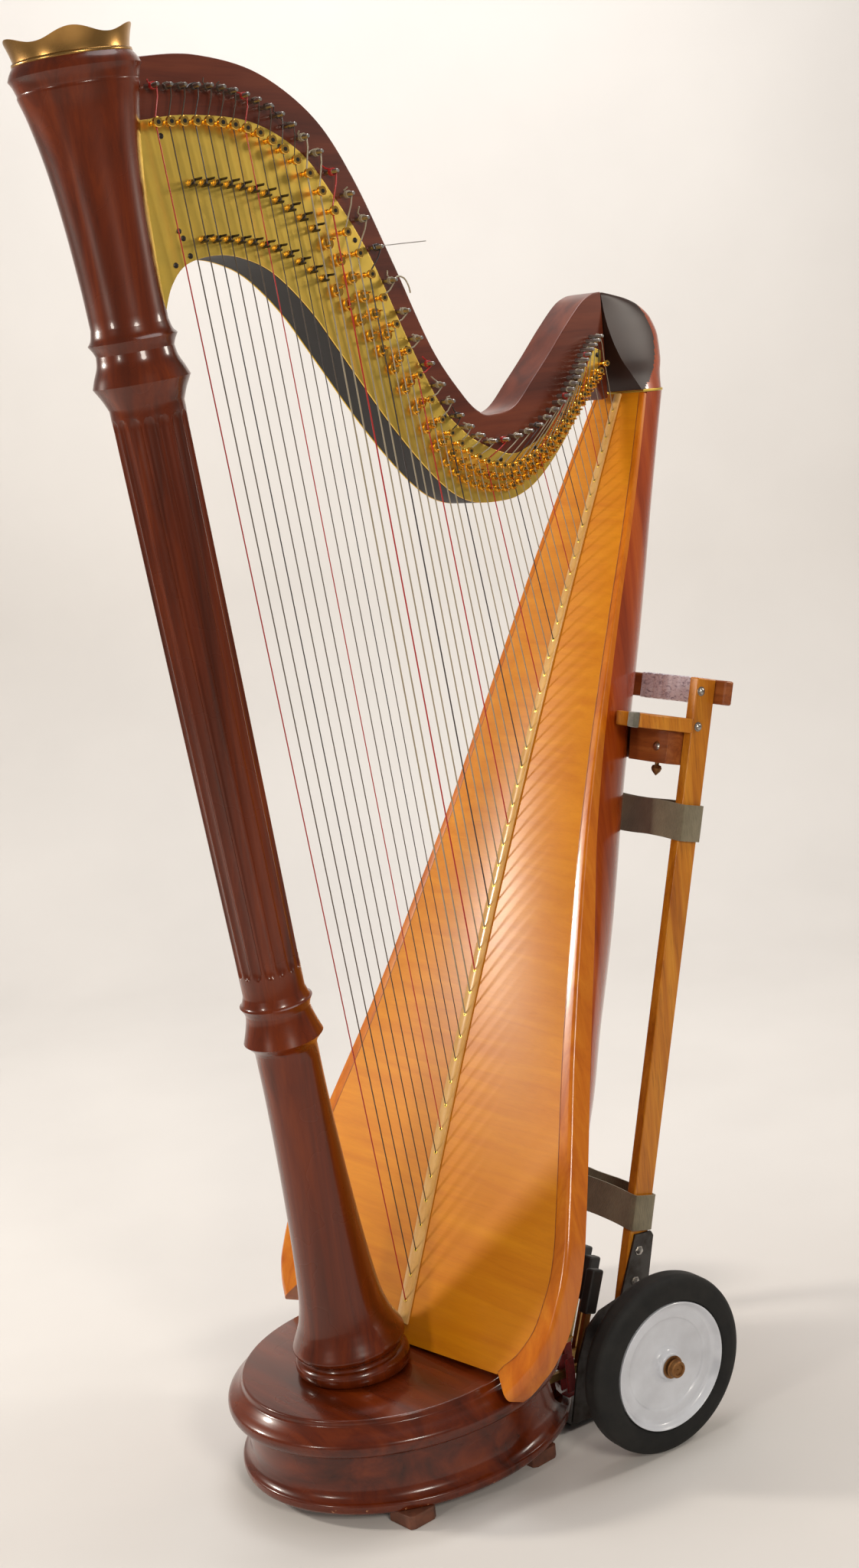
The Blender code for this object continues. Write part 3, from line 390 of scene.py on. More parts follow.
class Mat:
    """A Principled material with a short way to add nodes."""

    def __init__(self, name, colour, rough, **sockets):
        self.m = bpy.data.materials.new(name)
        self.m.use_nodes = True
        self.tree = self.m.node_tree
        self.bsdf = self.tree.nodes["Principled BSDF"]
        self.bsdf.inputs["Base Color"].default_value = colour
        self.bsdf.inputs["Roughness"].default_value = rough
        for key, value in sockets.items():
            self.bsdf.inputs[key.replace("_", " ")].default_value = value

    def new(self, kind, inputs=(), **props):
        node = self.tree.nodes.new("ShaderNode" + kind)
        for key, value in props.items():
            setattr(node, key, value)
        for key, value in dict(inputs).items():
            if isinstance(value, bpy.types.NodeSocket):
                self.tree.links.new(value, node.inputs[key])
            else:
                node.inputs[key].default_value = value
        return node

    def coords(self, scale=(1, 1, 1)):
        source = self.new("TexCoord").outputs["Object"]
        return self.new("Mapping", {"Vector": source, "Scale": scale}).outputs[0]

    def height(self):
        source = self.new("TexCoord").outputs["Object"]
        return self.new("SeparateXYZ", {0: source}).outputs["Z"]

    def noise(self, vector, scale, detail=3.0, rough=0.55, warp=0.0):
        return self.new("TexNoise", {"Vector": vector, "Scale": scale, "Detail": detail,
                                     "Roughness": rough, "Distortion": warp}).outputs["Fac"]

    def ramp(self, fac, *stops):
        node = self.new("ValToRGB", {"Fac": fac})
        e = node.color_ramp.elements
        while len(e) < len(stops):
            e.new(0.5)
        for k, (at, colour) in enumerate(stops):
            e[k].position = at
            e[k].color = colour if hasattr(colour, "__len__") else (colour, colour, colour, 1)
        return node.outputs["Color"]

    def mix(self, fac, a, b, mode="MIX"):
        node = self.new("Mix", {0: fac, 6: a, 7: b}, data_type="RGBA", blend_type=mode)
        return node.outputs[2]

    def math(self, op, a, b=0.0, c=0.0):
        return self.new("Math", {0: a, 1: b, 2: c}, operation=op).outputs[0]

    def bump(self, height, strength, distance=0.001):
        node = self.new("Bump", {"Height": height, "Strength": strength, "Distance": distance})
        self.tree.links.new(node.outputs[0], self.bsdf.inputs["Normal"])

    def into(self, key, socket):
        self.tree.links.new(socket, self.bsdf.inputs[key])

    def between(self, value, low, high, soft):
        """1 where value lies between low and high, fading over soft."""
        up = self.new("MapRange", {0: value, 1: low - soft, 2: low + soft, 3: 0.0, 4: 1.0}).outputs[0]
        down = self.new("MapRange", {0: value, 1: high - soft, 2: high + soft, 3: 1.0, 4: 0.0}).outputs[0]
        return self.math("MULTIPLY", up, down)


GRAIN = {"x": (0.05, 1, 1), "y": (1, 0.05, 1), "z": (1, 1, 0.05)}   # stretch of the fibres, by direction


def wood(name, dark, mid, light, along="z", rough=0.3, coat=0.5, coat_rough=0.12,
         figure=26.0, fibre=420.0, pores=0.25, chips=None):
    """Lacquered wood: slow drift, long figure, fine fibres, and chipped edges where asked."""
    mat = Mat(name, mid, rough, Coat_Weight=coat, Coat_Roughness=coat_rough, Specular_IOR_Level=0.3)
    v = mat.coords(GRAIN[along])
    drift = mat.noise(mat.coords((1, 1, 0.6)), 3.2, 2.0)
    long_figure = mat.noise(v, figure, 4.0, 0.6, 0.6)
    fine = mat.noise(v, fibre, 3.0, 0.7)
    base = mat.ramp(long_figure, (0.3, dark), (0.5, mid), (0.72, light))
    tone = mat.ramp(drift, (0.35, 0.8), (0.65, 1.0))
    base = mat.mix(0.75, base, tone, "MULTIPLY")
    lines = mat.ramp(fine, (0.34, 0.62), (0.48, 1.0))
    base = mat.mix(pores, base, lines, "MULTIPLY")
    if chips:
        patchy = mat.noise(mat.coords(), 95.0, 4.0, 0.65)
        for low, high, share in chips:
            band = mat.between(mat.height(), low, high, 0.0012)
            spot = mat.math("MULTIPLY", band, mat.ramp(patchy, (share, 0.0), (share + 0.02, 1.0)))
            base = mat.mix(spot, base, rgb(176, 122, 84))
    mat.into("Base Color", base)
    sheen = mat.noise(mat.coords(), 7.0, 3.0)
    mat.into("Roughness", mat.new("MapRange", {0: sheen, 3: rough * 0.8, 4: rough * 1.25}).outputs[0])
    mat.bump(mat.math("ADD", fine, mat.math("MULTIPLY", long_figure, 0.6)), 0.08, 0.0004)
    return mat.m


def metal(name, colour, dull, rough, brushed=None, spots=0.3):
    """Metal with tarnish patches and, if asked, a brushed direction."""
    mat = Mat(name, colour, rough, Metallic=1.0)
    patch = mat.noise(mat.coords(), 38.0, 5.0, 0.6)
    mat.into("Base Color", mat.mix(mat.ramp(patch, (0.45, 0.0), (0.75, spots)), colour, dull))
    mat.into("Roughness", mat.new("MapRange", {0: patch, 3: rough * 0.75, 4: rough * 1.4}).outputs[0])
    if brushed:
        mat.bump(mat.noise(mat.coords(brushed), 500.0, 2.0), 0.1, 0.0002)
    else:
        mat.bump(patch, 0.04, 0.0003)
    return mat.m


def plain(name, colour, rough, other=None, scale=60.0, bump=0.15, **sockets):
    """Rubber, enamel, paint or felt: two tones of one colour with a fine surface."""
    mat = Mat(name, colour, rough, **sockets)
    fac = mat.noise(mat.coords(), scale, 4.0, 0.6)
    mat.into("Base Color", mat.mix(mat.ramp(fac, (0.35, 0.0), (0.7, 1.0)), colour, other or colour))
    mat.bump(mat.noise(mat.coords(), scale * 8, 3.0), bump, 0.0004)
    return mat.m


def webbing():
    """Flat woven strap: ribs across, bright and dark threads, a patchy tone."""
    mat = Mat("webbing_weave", rgb(128, 117, 92), 0.85, Sheen_Weight=0.25)
    weft = mat.new("TexWave", {"Vector": mat.coords(), "Scale": 240.0, "Distortion": 1.2},
                   wave_type="BANDS", bands_direction="Z").outputs["Fac"]
    warp = mat.noise(mat.coords((1, 1, 0.12)), 620.0, 2.0)
    wear = mat.noise(mat.coords(), 16.0, 3.0)
    base = mat.mix(mat.ramp(wear, (0.3, 0.0), (0.7, 1.0)), rgb(112, 101, 78), rgb(150, 139, 112))
    base = mat.mix(0.5, base, mat.ramp(warp, (0.3, 0.55), (0.6, 1.0)), "MULTIPLY")
    base = mat.mix(0.35, base, mat.ramp(weft, (0.2, 0.6), (0.7, 1.0)), "MULTIPLY")
    mat.into("Base Color", base)
    mat.bump(mat.math("ADD", weft, warp), 0.5, 0.0006)
    return mat.m


def wound_wire():
    """Steel string with a fine copper winding; its dark bands are painted shade in the grooves between the turns.
    """
    mat = Mat("string_wound_painted_groove_shade", rgb(96, 88, 80), 0.45, Metallic=0.6)
    wind = mat.new("TexWave", {"Vector": mat.coords(), "Scale": 1400.0},
                   wave_type="BANDS", bands_direction="Z").outputs["Fac"]
    # dark half of each band: painted shade in the groove between two turns of the winding
    mat.into("Base Color", mat.mix(mat.ramp(wind, (0.3, 0.0), (0.7, 1.0)), rgb(66, 58, 52), rgb(112, 100, 88)))
    mat.bump(wind, 0.4, 0.0002)
    return mat.m


def string_material(name, colour, other):
    mat = Mat(name, colour, 0.32, Coat_Weight=0.3)
    fac = mat.noise(mat.coords(), 30.0, 2.0)
    mat.into("Base Color", mat.mix(fac, colour, other))
    return mat.m


def tape():
    """Wrinkled silver tape, with painted shade in its creases and painted highlights on its ridges."""
    mat = Mat("tape_wrap_painted_fold_shade", rgb(226, 220, 232), 0.35, Metallic=0.15)
    fold = mat.noise(mat.coords((0.35, 0.35, 1.0)), 210.0, 4.0, 0.7, 1.5)
    # the fold noise sets the colour, darker in the creases and lighter on the ridges: painted shade and painted
    # highlight
    mat.into("Base Color", mat.ramp(fold, (0.34, rgb(150, 140, 158)), (0.48, rgb(224, 218, 230)),
                                    (0.7, rgb(240, 238, 245))))
    mat.bump(fold, 0.7, 0.0012)
    return mat.m


MAHOGANY = wood("mahogany_lacquer", rgb(62, 20, 1), rgb(98, 34, 2), rgb(130, 52, 5), pores=0.3,
                rough=0.26, coat=0.4, coat_rough=0.08)
BASE_WOOD = wood("mahogany_base", rgb(60, 19, 2), rgb(92, 31, 4), rgb(116, 45, 8), along="y", pores=0.3,
                 rough=0.26, coat=0.4, coat_rough=0.1,
                 chips=((0.0195, 0.0265, 0.64),))
BOARD_WOOD = wood("board_spruce_varnish", rgb(206, 120, 8), rgb(214, 130, 11), rgb(222, 140, 16), along="y",
                  rough=0.38, coat=0.25, coat_rough=0.28, figure=60, fibre=700, pores=0.16)
STRIP_WOOD = wood("strip_wood_varnish", rgb(214, 158, 82), rgb(226, 174, 100), rgb(236, 190, 120),
                  rough=0.32, coat=0.5, coat_rough=0.18, figure=40, pores=0.25)
EDGE_WOOD = wood("edge_maple_varnish", rgb(186, 92, 10), rgb(206, 112, 16), rgb(218, 130, 28),
                 rough=0.24, coat=0.45, coat_rough=0.1, figure=40, pores=0.18)
SHELL_WOOD = wood("shell_mahogany_gloss", rgb(126, 44, 8), rgb(164, 66, 14), rgb(190, 90, 24),
                  rough=0.22, coat=0.6, coat_rough=0.08, figure=20, pores=0.35)
NECK_WOOD = wood("neck_mahogany_satin", rgb(74, 28, 14), rgb(98, 41, 22), rgb(120, 56, 31), along="x",
                 rough=0.34, coat=0.3, coat_rough=0.2, pores=0.35)
CART_WOOD = wood("cart_wood_varnish", rgb(168, 92, 16), rgb(200, 122, 26), rgb(220, 146, 42),
                 rough=0.35, coat=0.25, coat_rough=0.2, figure=60, pores=0.6)
# darker copy of the cart wood: on the crosspiece it is painted shade, as that board sits in shadow under the
# cradle; it also colours the handle and the board's purfling line
CART_DARK = wood("cart_wood_darker_shade_and_purfling", rgb(120, 58, 24), rgb(150, 80, 36), rgb(176, 104, 52),
                 along="y", rough=0.4, coat=0.3, figure=50, pores=0.5)
SHOULDER = plain("shoulder_dark_lacquer", rgb(38, 20, 14), 0.42, rgb(56, 32, 22), 8.0, 0.02,
                 Specular_IOR_Level=0.25)
# near-black for the neck's underside: painted shade of the recess between the brass plates where the action sits
NECK_UNDER_SHADE = plain("neck_underside_painted_shade", rgb(14, 10, 9), 0.6, rgb(22, 16, 14), 12.0, 0.03)
CROWN_BRASS = metal("crown_brass_satin", rgb(188, 144, 84), rgb(120, 80, 44), 0.24, (1, 1, 0.03))
PLATE_BRASS = metal("plate_brass_satin", rgb(240, 204, 96), rgb(212, 168, 64), 0.34, (1, 1, 0.02), 0.35)
GOLD = metal("gilt_polished", rgb(244, 192, 92), rgb(190, 130, 50), 0.16)
PEDAL_BRASS = metal("pedal_brass_worn", rgb(186, 150, 90), rgb(110, 84, 52), 0.36, None, 0.7)
STEEL = metal("steel_polished", rgb(176, 172, 166), rgb(110, 100, 90), 0.28)
DARK_STEEL = metal("steel_blackened", rgb(64, 60, 58), rgb(36, 32, 30), 0.4)
CART_STEEL = metal("cart_steel_dull", rgb(92, 90, 88), rgb(60, 50, 42), 0.5, None, 0.8)
RUST = metal("nut_rusted", rgb(150, 110, 70), rgb(104, 58, 28), 0.5, None, 0.9)
RUBBER = plain("tyre_rubber", rgb(24, 24, 24), 0.66, rgb(36, 35, 33), 26.0, 0.35, Specular_IOR_Level=0.25)
CAP_RUBBER = plain("pedal_cap_rubber", rgb(26, 26, 26), 0.5, rgb(38, 37, 36), 40.0, 0.2)
ENAMEL = plain("hub_enamel", rgb(214, 217, 224), 0.3, rgb(196, 198, 204), 14.0, 0.05, Coat_Weight=0.3)
RED_FELT = plain("red_felt", rgb(176, 26, 22), 0.95, rgb(140, 16, 14), 160.0, 0.8, Sheen_Weight=0.5)
GREY_FELT = plain("grey_felt", rgb(110, 106, 92), 0.95, rgb(84, 80, 70), 160.0, 0.8, Sheen_Weight=0.5)
FOOT = plain("foot_block", rgb(112, 66, 46), 0.6, rgb(76, 44, 32), 50.0, 0.2)
# near-black for discs and bars set in place of holes and slots: painted shade of those recesses
HOLE_SHADE = plain("hole_painted_shade", rgb(22, 16, 12), 0.9)
WEB = webbing()
WIRE = wound_wire()
GUT = string_material("string_gut_clear", rgb(168, 156, 132), rgb(140, 128, 106))
RED = string_material("string_gut_red", rgb(186, 34, 30), rgb(158, 22, 20))
INK = string_material("string_gut_black", rgb(40, 34, 34), rgb(62, 54, 52))
TAPE = tape()


# ------------------------------------------------------------------------- base
def build_base():
    """Elliptical plinth: moulded wall, hollow beneath, slots for the pedals."""
    wall = runs(
        mm((19.5, 79.5, 241.5, 210), (22.5, 79.5, 243.6, 211.8), (27, 79.5, 244.2, 212.4)),
        mm((31.8, 79.3, 243.2, 211.5), (34.5, 78.5, 238.5, 207)),
        mm((40, 76.5, 232, 201), (50, 75, 227.2, 196.7)),
        mm((75, 72.5, 225, 195), (96, 70.5, 223.6, 194.1)),
        mm((100, 69.9, 229, 199.5), (104, 69.2, 238.5, 208.5)),
        mm((107.5, 69, 242.7, 212.7), (112.5, 69, 245, 215), (118, 69, 245.6, 215.6), (123.5, 69, 244.2, 214.2),
           (127.5, 68.8, 240, 210.4), (131, 68, 234.5, 206)),
        mm((135, 65.5, 227.5, 200), (139, 63, 221, 195.2)),
        mm((141.2, 60.8, 216.5, 192), (143.5, 59.8, 214.5, 190.8)),
        mm((146.5, 58.6, 212.8, 189.6), (148.8, 58.1, 211.2, 188.5), (149.7, 57.9, 208.2, 186.2)),
        per=3)
    rows = wall + [(DECK_Z, 0.058, 0.1, 0.09), (DECK_Z, COL_X, 0.02, 0.02), (DECK_Z - 0.012, COL_X, 0.02, 0.02),
                   (DECK_Z - 0.012, 0.07, 0.205, 0.176), (0.0195, 0.074, 0.208, 0.178)]
    loops = [[(cx + a * math.cos(q), b * math.sin(q), z) for q in angles(168)] for z, cx, a, b in rows]
    base = Build().skin(loops, closed=True).make("base_body", BASE_WOOD, slot="mahogany", replaces="base")
    slots = Build()
    for y in PEDALS.values():
        slots.bar((0.245, y, 0.0685), (0.23, 0.017, 0.06))
    cut(base, slots)
    for tag in ("front_near", "front_far", "rear_near", "rear_far"):
        carry("foot_" + tag, FOOT, 0.0015)


# ----------------------------------------------------------------------- column
FLUTES, FLUTE_DEPTH, FLUTE_LO, FLUTE_HI, FLUTE_END = 16, 0.0036, 0.585, 1.295, 0.016


def flute_depth(s, k, per):
    """Depth of the flutes at height s, for the k-th of per points in each flute."""
    e = min(s - FLUTE_LO, FLUTE_HI - s)
    if e <= 0:
        return 0.0
    c = math.sqrt(1 - (1 - min(e, FLUTE_END) / FLUTE_END) ** 2)
    t = abs(2 * k / per - 1) / (0.84 * c)
    return FLUTE_DEPTH * c * math.sqrt(1 - t * t) if t < 1 else 0.0


def build_column():
    per = 12
    round_column = angles(FLUTES * per)
    foot = runs(
        mm((0.3, 70), (3.5, 75.8), (9, 78.2), (15, 78.5), (20.5, 77.5), (24.8, 74.5), (27, 70.5)),
        mm((30, 69.2), (33.5, 69.7), (36, 72.2)),
        mm((39.5, 75.8), (44.5, 77.3), (49, 76.2), (56, 72.8), (68, 67.2), (85, 61.2), (120, 54.8), (200, 48.6),
           (300, 44), (400, 41.2), (478, 41)),
        mm((485, 44.6), (493.5, 52.3)),
        mm((508, 47.4), (523, 43.4), (532, 42.4)),
        mm((538, 44.6), (543.6, 47.5)),
        mm((547, 44), (558, 40.4)))
    shaft_r = smooth(mm((558, 40.4), (750, 41.8), (1000, 43.4), (1305, 44.6)))
    ends = [FLUTE_END * (1 - math.cos(math.pi / 2 * k / 8)) for k in range(9)]
    shaft = [FLUTE_LO + e for e in ends] + [FLUTE_LO + (FLUTE_HI - FLUTE_LO) * k / 14 for k in range(1, 14)] \
        + [FLUTE_HI - e for e in reversed(ends)]
    cap = runs(
        mm((1305, 44.6), (1318, 50), (1332.5, 58)),
        mm((1343, 54), (1356, 48.2), (1368, 46.2)),
        mm((1374, 48.6), (1381.1, 52.9)),
        mm((1387, 48.4), (1398, 45.7)),
        mm((1450, 46.4), (1520, 49.6), (1580, 55.1), (1630, 63.2), (1656, 69.7)),
        mm((1659, 69), (1661.2, 69.7)),
        mm((1669, 72.2), (1675.2, 75.7)),
        mm((1681.5, 72.8), (1687, 69), (1690, 66.8)))
    loops = []
    for s, r in foot + [(s, shaft_r(s)) for s in shaft] + cap:
        loops.append([col_point(s, r - flute_depth(s, k % per, per), a) for k, a in enumerate(round_column)])
    loops += [[col_point(1.69, r, a) for a in round_column] for r in (0.045, 0.002)]
    Build().skin(loops).make("column_body", MAHOGANY, slot="mahogany", replaces="column", angle=28)


def build_crown():
    """Scalloped sheet-brass ring on top of the column."""
    lobes, turn, rim = 5, math.radians(-118), 1.6903

    def ring(frac, off):
        out = []
        for a in angles(200):
            c = abs(math.cos(0.5 * lobes * (a - turn)))
            top = 0.0175 + 0.009 * c ** 2.2
            flare = 0.007 * (frac * top / 0.0265) ** 1.5 + 0.0008 * frac * math.cos(lobes * (a - turn))
            out.append(col_point(rim + frac * top, 0.0655 + off + flare, a))
        return out
    rise = steps(0, 1, 10)
    loops = [ring(f, 0.0) for f in rise] + [ring(f, -0.0014) for f in reversed(rise)]
    Build().skin(loops, closed=True).make(
        "crown_ring", CROWN_BRASS, slot="crown_brass", replaces="crown", angle=50)
    bead = [(rim - 0.0035, 0.0668), (rim - 0.001, 0.0684), (rim + 0.0015, 0.068), (rim + 0.0025, 0.0655)]
    loops = [[col_point(s, r, a) for a in angles(96)] for s, r in bead]
    Build().skin(loops, caps=False).make("crown_bead", CROWN_BRASS, slot="crown_brass", angle=60)


# ------------------------------------------------------------------- sound body
def build_board():
    t, across = 0.0035, 28
    loops = []
    for s in [0.0025] + steps(0.0205, BOARD_LEN, 90):
        low = s < 0.003
        front, back = [], []
        for k in range(across + 1):
            u = 2 * k / across - 1
            at = s + (0.014 * max(0.0, -u) if low else 0.0)
            w = (HALF_W(at) - EDGE_W(at) - 0.0003) * u
            front.append(board_point(at, MIDDLE(at) + w, belly(at, w)))
            back.append(board_point(at, MIDDLE(at) + w, belly(at, w) - t))
        loops.append(front + back[::-1])
    Build().skin(loops).make("board_panel", BOARD_WOOD, slot="board_spruce", replaces="soundboard")
    loops = []
    for s in steps(0.03, BOARD_LEN - 0.001, 90):
        w, b = STRIP_W(s), belly(s) + 0.0003
        loops.append([board_point(s, y, b + n) for y, n in
                      ((-w, 0), (-w, 0.0018), (-w + 0.0012, 0.003), (w - 0.0012, 0.003), (w, 0.0018), (w, 0))])
    Build().skin(loops).make("board_strip", STRIP_WOOD, slot="strip_wood", replaces="string_band", angle=50)
    for name, side in (("edge_near", -1), ("edge_far", 1)):
        loops = []
        for s in steps(-0.012, 0.048, 12) + steps(0.06, BOARD_LEN, 110):
            up = s + RAKE(s)
            w, wi, d = HALF_W(s), HALF_W(up) - EDGE_W(up), EDGE_D(s)
            r = 0.34 * min(w - wi, d)
            arc = [(w - r + r * math.sin(q), -r + r * math.cos(q)) for q in steps(0, math.pi / 2, 6)]
            loop = []
            for y, n in [(wi, -d), (wi, 0.0)] + arc + [(w, -d)]:
                at = s + (up - s) * (w - y) / (w - wi)
                loop.append(board_point(at, MIDDLE(at) + side * y, n))
            loops.append(loop)
        Build().skin(loops).make(name + "_frame", EDGE_WOOD, slot="edge_maple", replaces=name)
    line, marks = Build(), steps(0.02, BOARD_LEN, 120)
    for side in (-1, 1):
        for s0, s1 in zip(marks, marks[1:]):
            corners = []
            for at, off in ((s0, -0.0006), (s0, 0.0004), (s1, 0.0004), (s1, -0.0006)):
                corners.append(board_point(at, MIDDLE(at) + side * (HALF_W(at) - EDGE_W(at) + off), 0.0004))
            line.add(corners, [(0, 1, 2, 3)])
    line.make("board_purfling", CART_DARK, slot="edge_maple")


def shell_ring(z, grow=0.0, n=40):
    """Horizontal section of the rounded back, from one front corner to the other."""
    s = (z - DECK_Z) / COS_B
    w = SHELL_HALF(z) + grow
    xb = board_x(z) + (EDGE_D(s) + 0.0009) / COS_B
    a = board_x(z) + SHELL_OUT(z) + grow - xb
    return [(xb + a * out, MIDDLE(s) + w * across, z) for across, out in superellipse(SHELL_P, n)]


def build_shell():
    loops = []
    for z in steps(0.15, SHELL_TOP, 96):
        outer, inner = shell_ring(z), shell_ring(z, grow=-SHELL_T)
        front = outer[0][0]
        loops.append(outer + [(max(x, front), y, z) for x, y, _ in reversed(inner)])
    shell = Build().skin(loops).make("body_shell", SHELL_WOOD, slot="shell_wood", replaces="shell")
    holes = Build()
    for z, hw, hh in SOUND_HOLES:
        x0 = board_x(z) + SHELL_OUT(z) * 0.62
        holes.skin([[(x, hw * math.cos(a), z + hh * math.sin(a)) for a in angles(48)] for x in (x0, x0 + 0.16)])
    cut(shell, holes)


def build_shoulder():
    """Brass band at the head of the body, and above it the knee: dark in front, brown behind."""
    ring = shell_ring(SHELL_TOP, grow=0.0012, n=60)
    front = board_x(SHELL_TOP)
    ring = [(front, ring[0][1], 0)] + ring + [(front, ring[-1][1], 0)]
    Build().skin([[(x, y, z) for x, y, _ in ring] for z in (BAND_Z, BAND_Z + 0.0034)]).make(
        "neck_band", PLATE_BRASS, slot="plate_brass", replaces="brass_band", bevel=0.0006)
    # height, front, back, half width, middle, squareness
    rows = [(1.4098, 0.6425, 0.7135, 0.0492, 0.0, 2.25), (1.43, 0.6335, 0.7215, 0.046, 0.0045, 2.3),
            (1.4514, 0.6265, 0.734, 0.0405, 0.01, 2.4), (1.484, 0.6205, 0.7396, 0.0345, 0.016, 2.5),
            (1.508, 0.619, 0.7315, 0.031, 0.0195, 2.6), (1.526, 0.619, 0.711, 0.029, 0.0215, 2.7),
            (1.537, 0.619, 0.683, 0.0278, 0.0221, 2.8), (1.5435, 0.619, 0.652, 0.0265, 0.0221, 2.8),
            (1.5465, 0.619, 0.633, 0.0245, 0.0221, 2.8)]
    cols = [smooth([(row[0], row[k]) for row in rows]) for k in range(1, 6)]
    dark_to = smooth(mm((1409.8, 648), (1430, 676), (1451.4, 700), (1484, 713), (1508, 709), (1526, 700),
                        (1546.5, 690)))
    loops = []
    for z in steps(KNEE_Z0, 1.53, 40) + steps(1.531, KNEE_Z1, 14):
        xf, xk, hw, yc, p = (c(z) for c in cols)
        loops.append([(xf + (xk - xf) * out, yc + hw * across, z) for across, out in superellipse(p, 64)])
    knee = Build().skin(loops)
    for k, face in enumerate(knee.faces):
        x, y, z = np.mean([knee.verts[i] for i in face], axis=0)
        knee.slots[k] = 1 if x > dark_to(z) else 0
    knee.make("neck_shoulder", [SHOULDER, SHELL_WOOD], slot="shoulder_black", replaces="shoulder", angle=60)


# ------------------------------------------------------------------------- neck
def prism(outline, lo, hi, place):
    """Flat piece with that outline between two depths, as a Build."""
    n = len(outline)
    sides = [(k, (k + 1) % n, n + (k + 1) % n, n + k) for k in range(n)]
    return Build().add([place(x, z, w) for w in (lo, hi) for x, z in outline],
                       [tuple(range(n)), tuple(range(n, 2 * n))] + sides)


def build_neck():
    top, low = spline(NECK_TOP, 9), spline(PLATE_LOW[2:], 9)
    outline = top + mm((617.5, 1402), (605, 1400)) + low
    neck = prism(outline, -NECK_HALF, NECK_HALF, skew)
    first_low = len(top) + 2
    for k in range(first_low, len(outline)):     # underside faces take the near-black material: painted shade of the recess between the plates
        neck.slots[2 + k] = 1
    neck.make("neck_body", [NECK_WOOD, NECK_UNDER_SHADE], slot="neck_wood", replaces="neck", bevel=0.0032, angle=30)
    ptop, plow = spline(PLATE_TOP, 8), spline(PLATE_LOW, 8)
    for tag, side in (("left", -1), ("right", 1)):
        a = NECK_HALF + 0.0003
        plate = prism(ptop + plow, side * a, side * (a + PLATE_T), skew)
        plate.make("action_plate_" + tag, PLATE_BRASS, slot="plate_brass", replaces="plate_" + tag, bevel=0.0006)


def string_radius(i):
    if i <= LAST_WIRE:
        return 0.00082 - 0.00018 * (i - 1) / (LAST_WIRE - 1)
    return 0.00105 - 0.00055 * (i - LAST_WIRE - 1) / (N_STRINGS - LAST_WIRE - 1)


def string_kind(i):
    """Index into STRING_KINDS: C strings are red and F strings black."""
    if i % 7 == 1:
        return 2
    if i % 7 == 4:
        return 3
    return 0 if i <= LAST_WIRE else 1


STRING_KINDS = (("wire", WIRE), ("gut", GUT), ("red", RED), ("black", INK))


